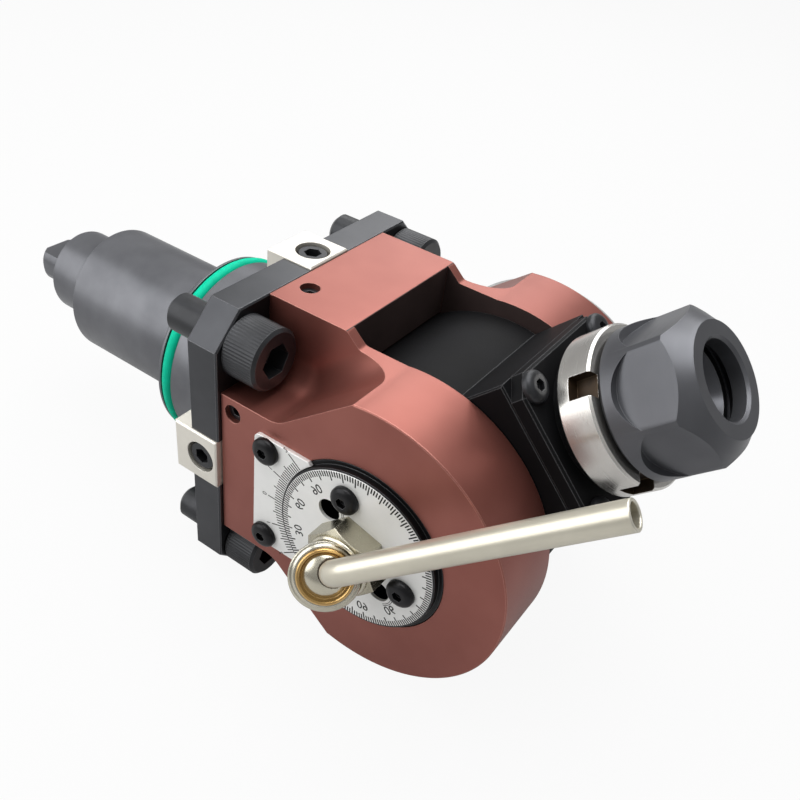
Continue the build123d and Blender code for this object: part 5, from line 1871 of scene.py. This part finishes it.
@dataclass(frozen=True)
class Studio:
    """Floor, lamps, world and the camera that sees the part as the photograph does."""

    camera_place: tuple[float, float, float] = (123.46, -156.91, 143.41)
    camera_right: tuple[float, float, float] = (0.799259, 0.593765, 0.092928)
    camera_back: tuple[float, float, float] = (0.391918, -0.632159, 0.668419)
    focal_mm: float = 37.76
    sensor_mm: float = 36.0
    shift: tuple[float, float] = (0.05, 0.10)
    clip_metres: tuple[float, float] = (0.01, 20.0)
    floor_half_metres: float = 4.0
    floor_gap_metres: float = 0.0005
    floor_tone: str = "#c0c0c0"
    floor_white: float = 0.93
    glossy_share: float = 0.25
    lamps: tuple[tuple[str, tuple[float, float, float], float, float], ...] = (
        ("overhead", (-80.0, 60.0, 620.0), 640.0, 4.0),
        ("back_left", (-250.0, 535.0, 480.0), 520.0, 1.8),
        ("front_left", (-420.0, -420.0, 300.0), 700.0, 2.7),
    )
    world_tones: tuple[str, str] = ("#7c7c7c", "#ffffff")
    world_stops: tuple[float, float] = (0.50, 0.85)
    world_strength: float = 0.30

    def stand(self, name: str, data: bpy.types.ID, spot: np.ndarray, across: np.ndarray,
              back: np.ndarray) -> bpy.types.Object:
        """Places a camera or lamp, which looks against its back direction.

        Args:
            name: The object's name.
            data: The camera or lamp.
            spot: Its place in millimetres.
            across: A direction to its right, made square to the back direction.
            back: The direction from what it looks at.

        Returns:
            The placed object.
        """
        back = unit(back)
        right = unit(across - back * (across @ back))
        rows = np.eye(4)
        rows[:3, :3] = np.stack([right, np.cross(back, right), back], axis=1)
        rows[:3, 3] = spot * MM
        made = linked(name, data)
        made.matrix_world = Matrix(rows.tolist())
        return made

    def camera(self) -> None:
        """Sets the camera from its place and two directions."""
        data = bpy.data.cameras.new("camera")
        data.lens, data.sensor_width = self.focal_mm, self.sensor_mm
        data.shift_x, data.shift_y = self.shift
        data.clip_start, data.clip_end = self.clip_metres
        bpy.context.scene.camera = self.stand(
            "camera", data, np.asarray(self.camera_place), np.asarray(self.camera_right),
            np.asarray(self.camera_back))

    def seen_white(self, tree: bpy.types.NodeTree) -> bpy.types.NodeSocket:
        """How far a ray sees the white background: wholly to the camera and through glass.

        Args:
            tree: The node tree of the floor or the world.

        Returns:
            The share: 1 for those rays, less for a mirrored one, 0 for light on matt faces.
        """
        path = add(tree, "ShaderNodeLightPath").outputs
        direct = add(tree, "ShaderNodeMath", {"operation": "MAXIMUM"},
                     {0: path["Is Camera Ray"], 1: path["Is Transmission Ray"]})
        mirrored = add(tree, "ShaderNodeMath", {"operation": "MULTIPLY", 1: self.glossy_share},
                       {0: path["Is Glossy Ray"]})
        return add(tree, "ShaderNodeMath", {"operation": "MAXIMUM"},
                   {0: direct.outputs["Value"], 1: mirrored.outputs["Value"]}).outputs["Value"]

    def floor(self, level: float) -> None:
        """A wide pale floor just under the part, near white to the camera with the shadow kept.

        Args:
            level: The floor's height in metres.
        """
        half = self.floor_half_metres
        square = rectangle((-half, -half), (half, half))
        plane = mesh_object("floor", np.column_stack([square, np.full(4, level)]), [(0, 1, 2, 3)])
        material = bpy.data.materials.new("pale_floor")
        tree = emptied(material)
        share = add(tree, "ShaderNodeMath", {"operation": "MULTIPLY", 1: self.floor_white},
                    {0: self.seen_white(tree)})
        matt = add(tree, "ShaderNodeBsdfDiffuse", {"Color": linear(self.floor_tone)})
        glow = add(tree, "ShaderNodeEmission", {"Color": WHITE, "Strength": 1.0})
        mixed = add(tree, "ShaderNodeMixShader", links={
            0: share.outputs["Value"], 1: matt.outputs["BSDF"], 2: glow.outputs["Emission"]})
        add(tree, "ShaderNodeOutputMaterial", links={"Surface": mixed.outputs["Shader"]})
        plane.data.materials.append(material)
        plane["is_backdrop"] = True

    def light(self) -> None:
        """Large soft lamps aimed at the part."""
        centre = np.asarray(PIVOT_POINT)
        for name, place, size, power in self.lamps:
            data = bpy.data.lights.new(name, "AREA")
            data.shape, data.size, data.energy = "DISK", size * MM, power
            back = np.asarray(place)
            across = np.cross((0.0, 1.0, 0.001), back)  # not quite Y, where a lamp may stand
            self.stand(name, data, centre + back, across, back)

    def world(self) -> None:
        """A world that is brighter above than below, and white to the camera."""
        world = bpy.data.worlds.new("tent")
        bpy.context.scene.world = world
        tree = emptied(world)
        view = add(tree, "ShaderNodeTexCoord").outputs["Generated"]
        height = add(tree, "ShaderNodeSeparateXYZ", links={"Vector": view}).outputs["Z"]
        rise = add(tree, "ShaderNodeMapRange", {"From Min": -1.0, "From Max": 1.0},
                   {"Value": height}).outputs["Result"]
        shade = ramp(tree, rise, self.world_stops, self.world_tones)
        dome = add(tree, "ShaderNodeBackground", {"Strength": self.world_strength},
                   {"Color": shade})
        white = add(tree, "ShaderNodeBackground", {"Strength": 1.0, "Color": WHITE})
        mixed = add(tree, "ShaderNodeMixShader", links={
            0: self.seen_white(tree), 1: dome.outputs["Background"],
            2: white.outputs["Background"]})
        add(tree, "ShaderNodeOutputWorld", links={"Surface": mixed.outputs["Shader"]})

    def build(self, lowest: float) -> None:
        """Sets up floor, light, world, camera and view.

        Args:
            lowest: The height of the part's lowest point in metres.
        """
        level = lowest - self.floor_gap_metres
        self.floor(level)
        self.light()
        self.world()
        self.camera()
        bpy.context.scene.view_settings.view_transform = "Standard"
        LOG.info("studio built with the floor at %.4f m", level)


def corner_lists(box: tuple) -> list[list[float]]:
    """A box's two corners as plain lists."""
    return [list(map(float, corner)) for corner in box]


def build_holder(paint: Paintshop) -> None:
    """Builds what stays still, and the drive shaft: shank, flange, fork, vernier and gear cover.

    Args:
        paint: The shop that dresses the pieces.
    """
    shank, flange, fork, vernier, cover = Shank(), Flange(), Fork(), Vernier(), GearCover()
    base = paint.dress(joined("shank_and_flange", [shank.pilot(), flange.plate()]),
                       BLACK_TURNED, "holder", "shank_flange")
    paint.second_coat(base, BLACK_FLANGE, flange.plate_faces(base))
    paint.dress(shank.seal(), GREEN_RUBBER, "holder", "pilot_o_ring")
    paint.dress(shank.drive_shaft(), BLACK_TURNED, "drive_shaft_group", "drive_shaft")
    paint.dress(joined("keys", flange.keys()), KEY_STEEL, "holder", "locating_keys")
    paint.dress(joined("key_cap_screws", flange.key_screws()), BLACK_SCREW, "holder",
                "key_screws")
    paint.dress(joined("bolts", flange.bolts()), BLACK_SCREW, "holder", "mounting_bolts")
    body = paint.dress(fork.build(), ANODISED, "holder", "fork_housing")
    # The window's faces are painted dark as the shade inside them.
    paint.second_coat(body, ANODISED_WINDOW_SHADE, fork.window_faces(body))
    paint.dress(vernier.plate(), PLATE, "holder", "vernier_plate")
    paint.dress(vernier.graduations(), ENGRAVED, "holder")
    paint.dress(joined("vernier_button_screws", vernier.screws()), BLACK_DEEP, "holder",
                "vernier_screws")
    paint.dress(cover.body(), COVER, "holder", "gear_cover")
    paint.dress(joined("gear_cover_cap_screws", cover.screws()), BLACK_SCREW, "holder",
                "gear_cover_screws")


def build_head(paint: Paintshop) -> None:
    """Builds the head with its cover, dial and nozzle.

    Args:
        paint: The shop that dresses the pieces.
    """
    head, dial, nozzle = SwivelHead(), Dial(), Nozzle()
    # The head and its cover are painted nearly black as the shade they stand in.
    paint.dress(head.housing(), BLACK_HEAD_IN_SHADE, "swivel_head", "head_housing")
    paint.dress(head.cover(), BLACK_HEAD_IN_SHADE, "swivel_head", "front_cover")
    paint.dress(joined("cover_button_screws", head.screws()), BLACK_SCREW, "swivel_head",
                "front_cover_screws")
    paint.dress(dial.trunnion(), BLACK_DEEP, "swivel_head", "dial_trunnion")
    paint.dress(dial.disc(), PLATE, "swivel_head", "dial_plate")
    paint.dress(dial.graduations(), ENGRAVED, "swivel_head")
    paint.dress(joined("dial_button_screws", dial.screws()), BLACK_DEEP, "swivel_head",
                "dial_screws")
    # The hexagon's nickel is a little darker as painted shade from the ball above it.
    paint.dress(nozzle.fitting(), NICKEL_HEX, "swivel_head", "coolant_fitting")
    paint.dress(nozzle.collar(), NICKEL, "swivel_head", "nozzle_clamp_nut", "nozzle_brass_ring")
    paint.dress(nozzle.ball(), NICKEL, "nozzle", "coolant_ball")
    paint.dress(nozzle.brass(), BRASS, "nozzle")
    dome = paint.dress(nozzle.dome(), NICKEL, "nozzle")
    # The gap about the tube's root is painted dark as its shadow.
    paint.second_coat(dome, SLOT_AND_GAP_SHADE, nozzle.root_faces(dome))
    paint.dress(nozzle.tube(), NICKEL_TUBE, "nozzle", "coolant_tube")


def build_nose(paint: Paintshop) -> None:
    """Builds the spindle's nose with its ring and nut.

    Args:
        paint: The shop that dresses the pieces.
    """
    nose = Nose()
    ring = paint.dress(nose.ring(), GROUND, "spindle_group", "wrench_ring")
    # The slots' faces are painted dark as the shade inside them.
    paint.second_coat(ring, SLOT_AND_GAP_SHADE, nose.slot_faces(ring))
    paint.dress(nose.nut(), BLACK_NUT, "collet_nut", "collet_nut")
    # The taper ring inside the nut takes the spindle's grey, painted darker as shade.
    paint.dress(nose.taper_ring(), SPINDLE_IN_SHADE, "extraction_ring", "nut_extraction_ring")


def main() -> None:
    """Builds the looks in order."""
    logging.basicConfig(level=logging.INFO, format="%(name)s: %(message)s")
    solids = corner_lists(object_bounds())
    paint = Paintshop()
    paint.coat_nodes()
    build_holder(paint)
    build_head(paint)
    build_nose(paint)
    Studio().build(solids[0][2])


if __name__ == "__main__":
    main()
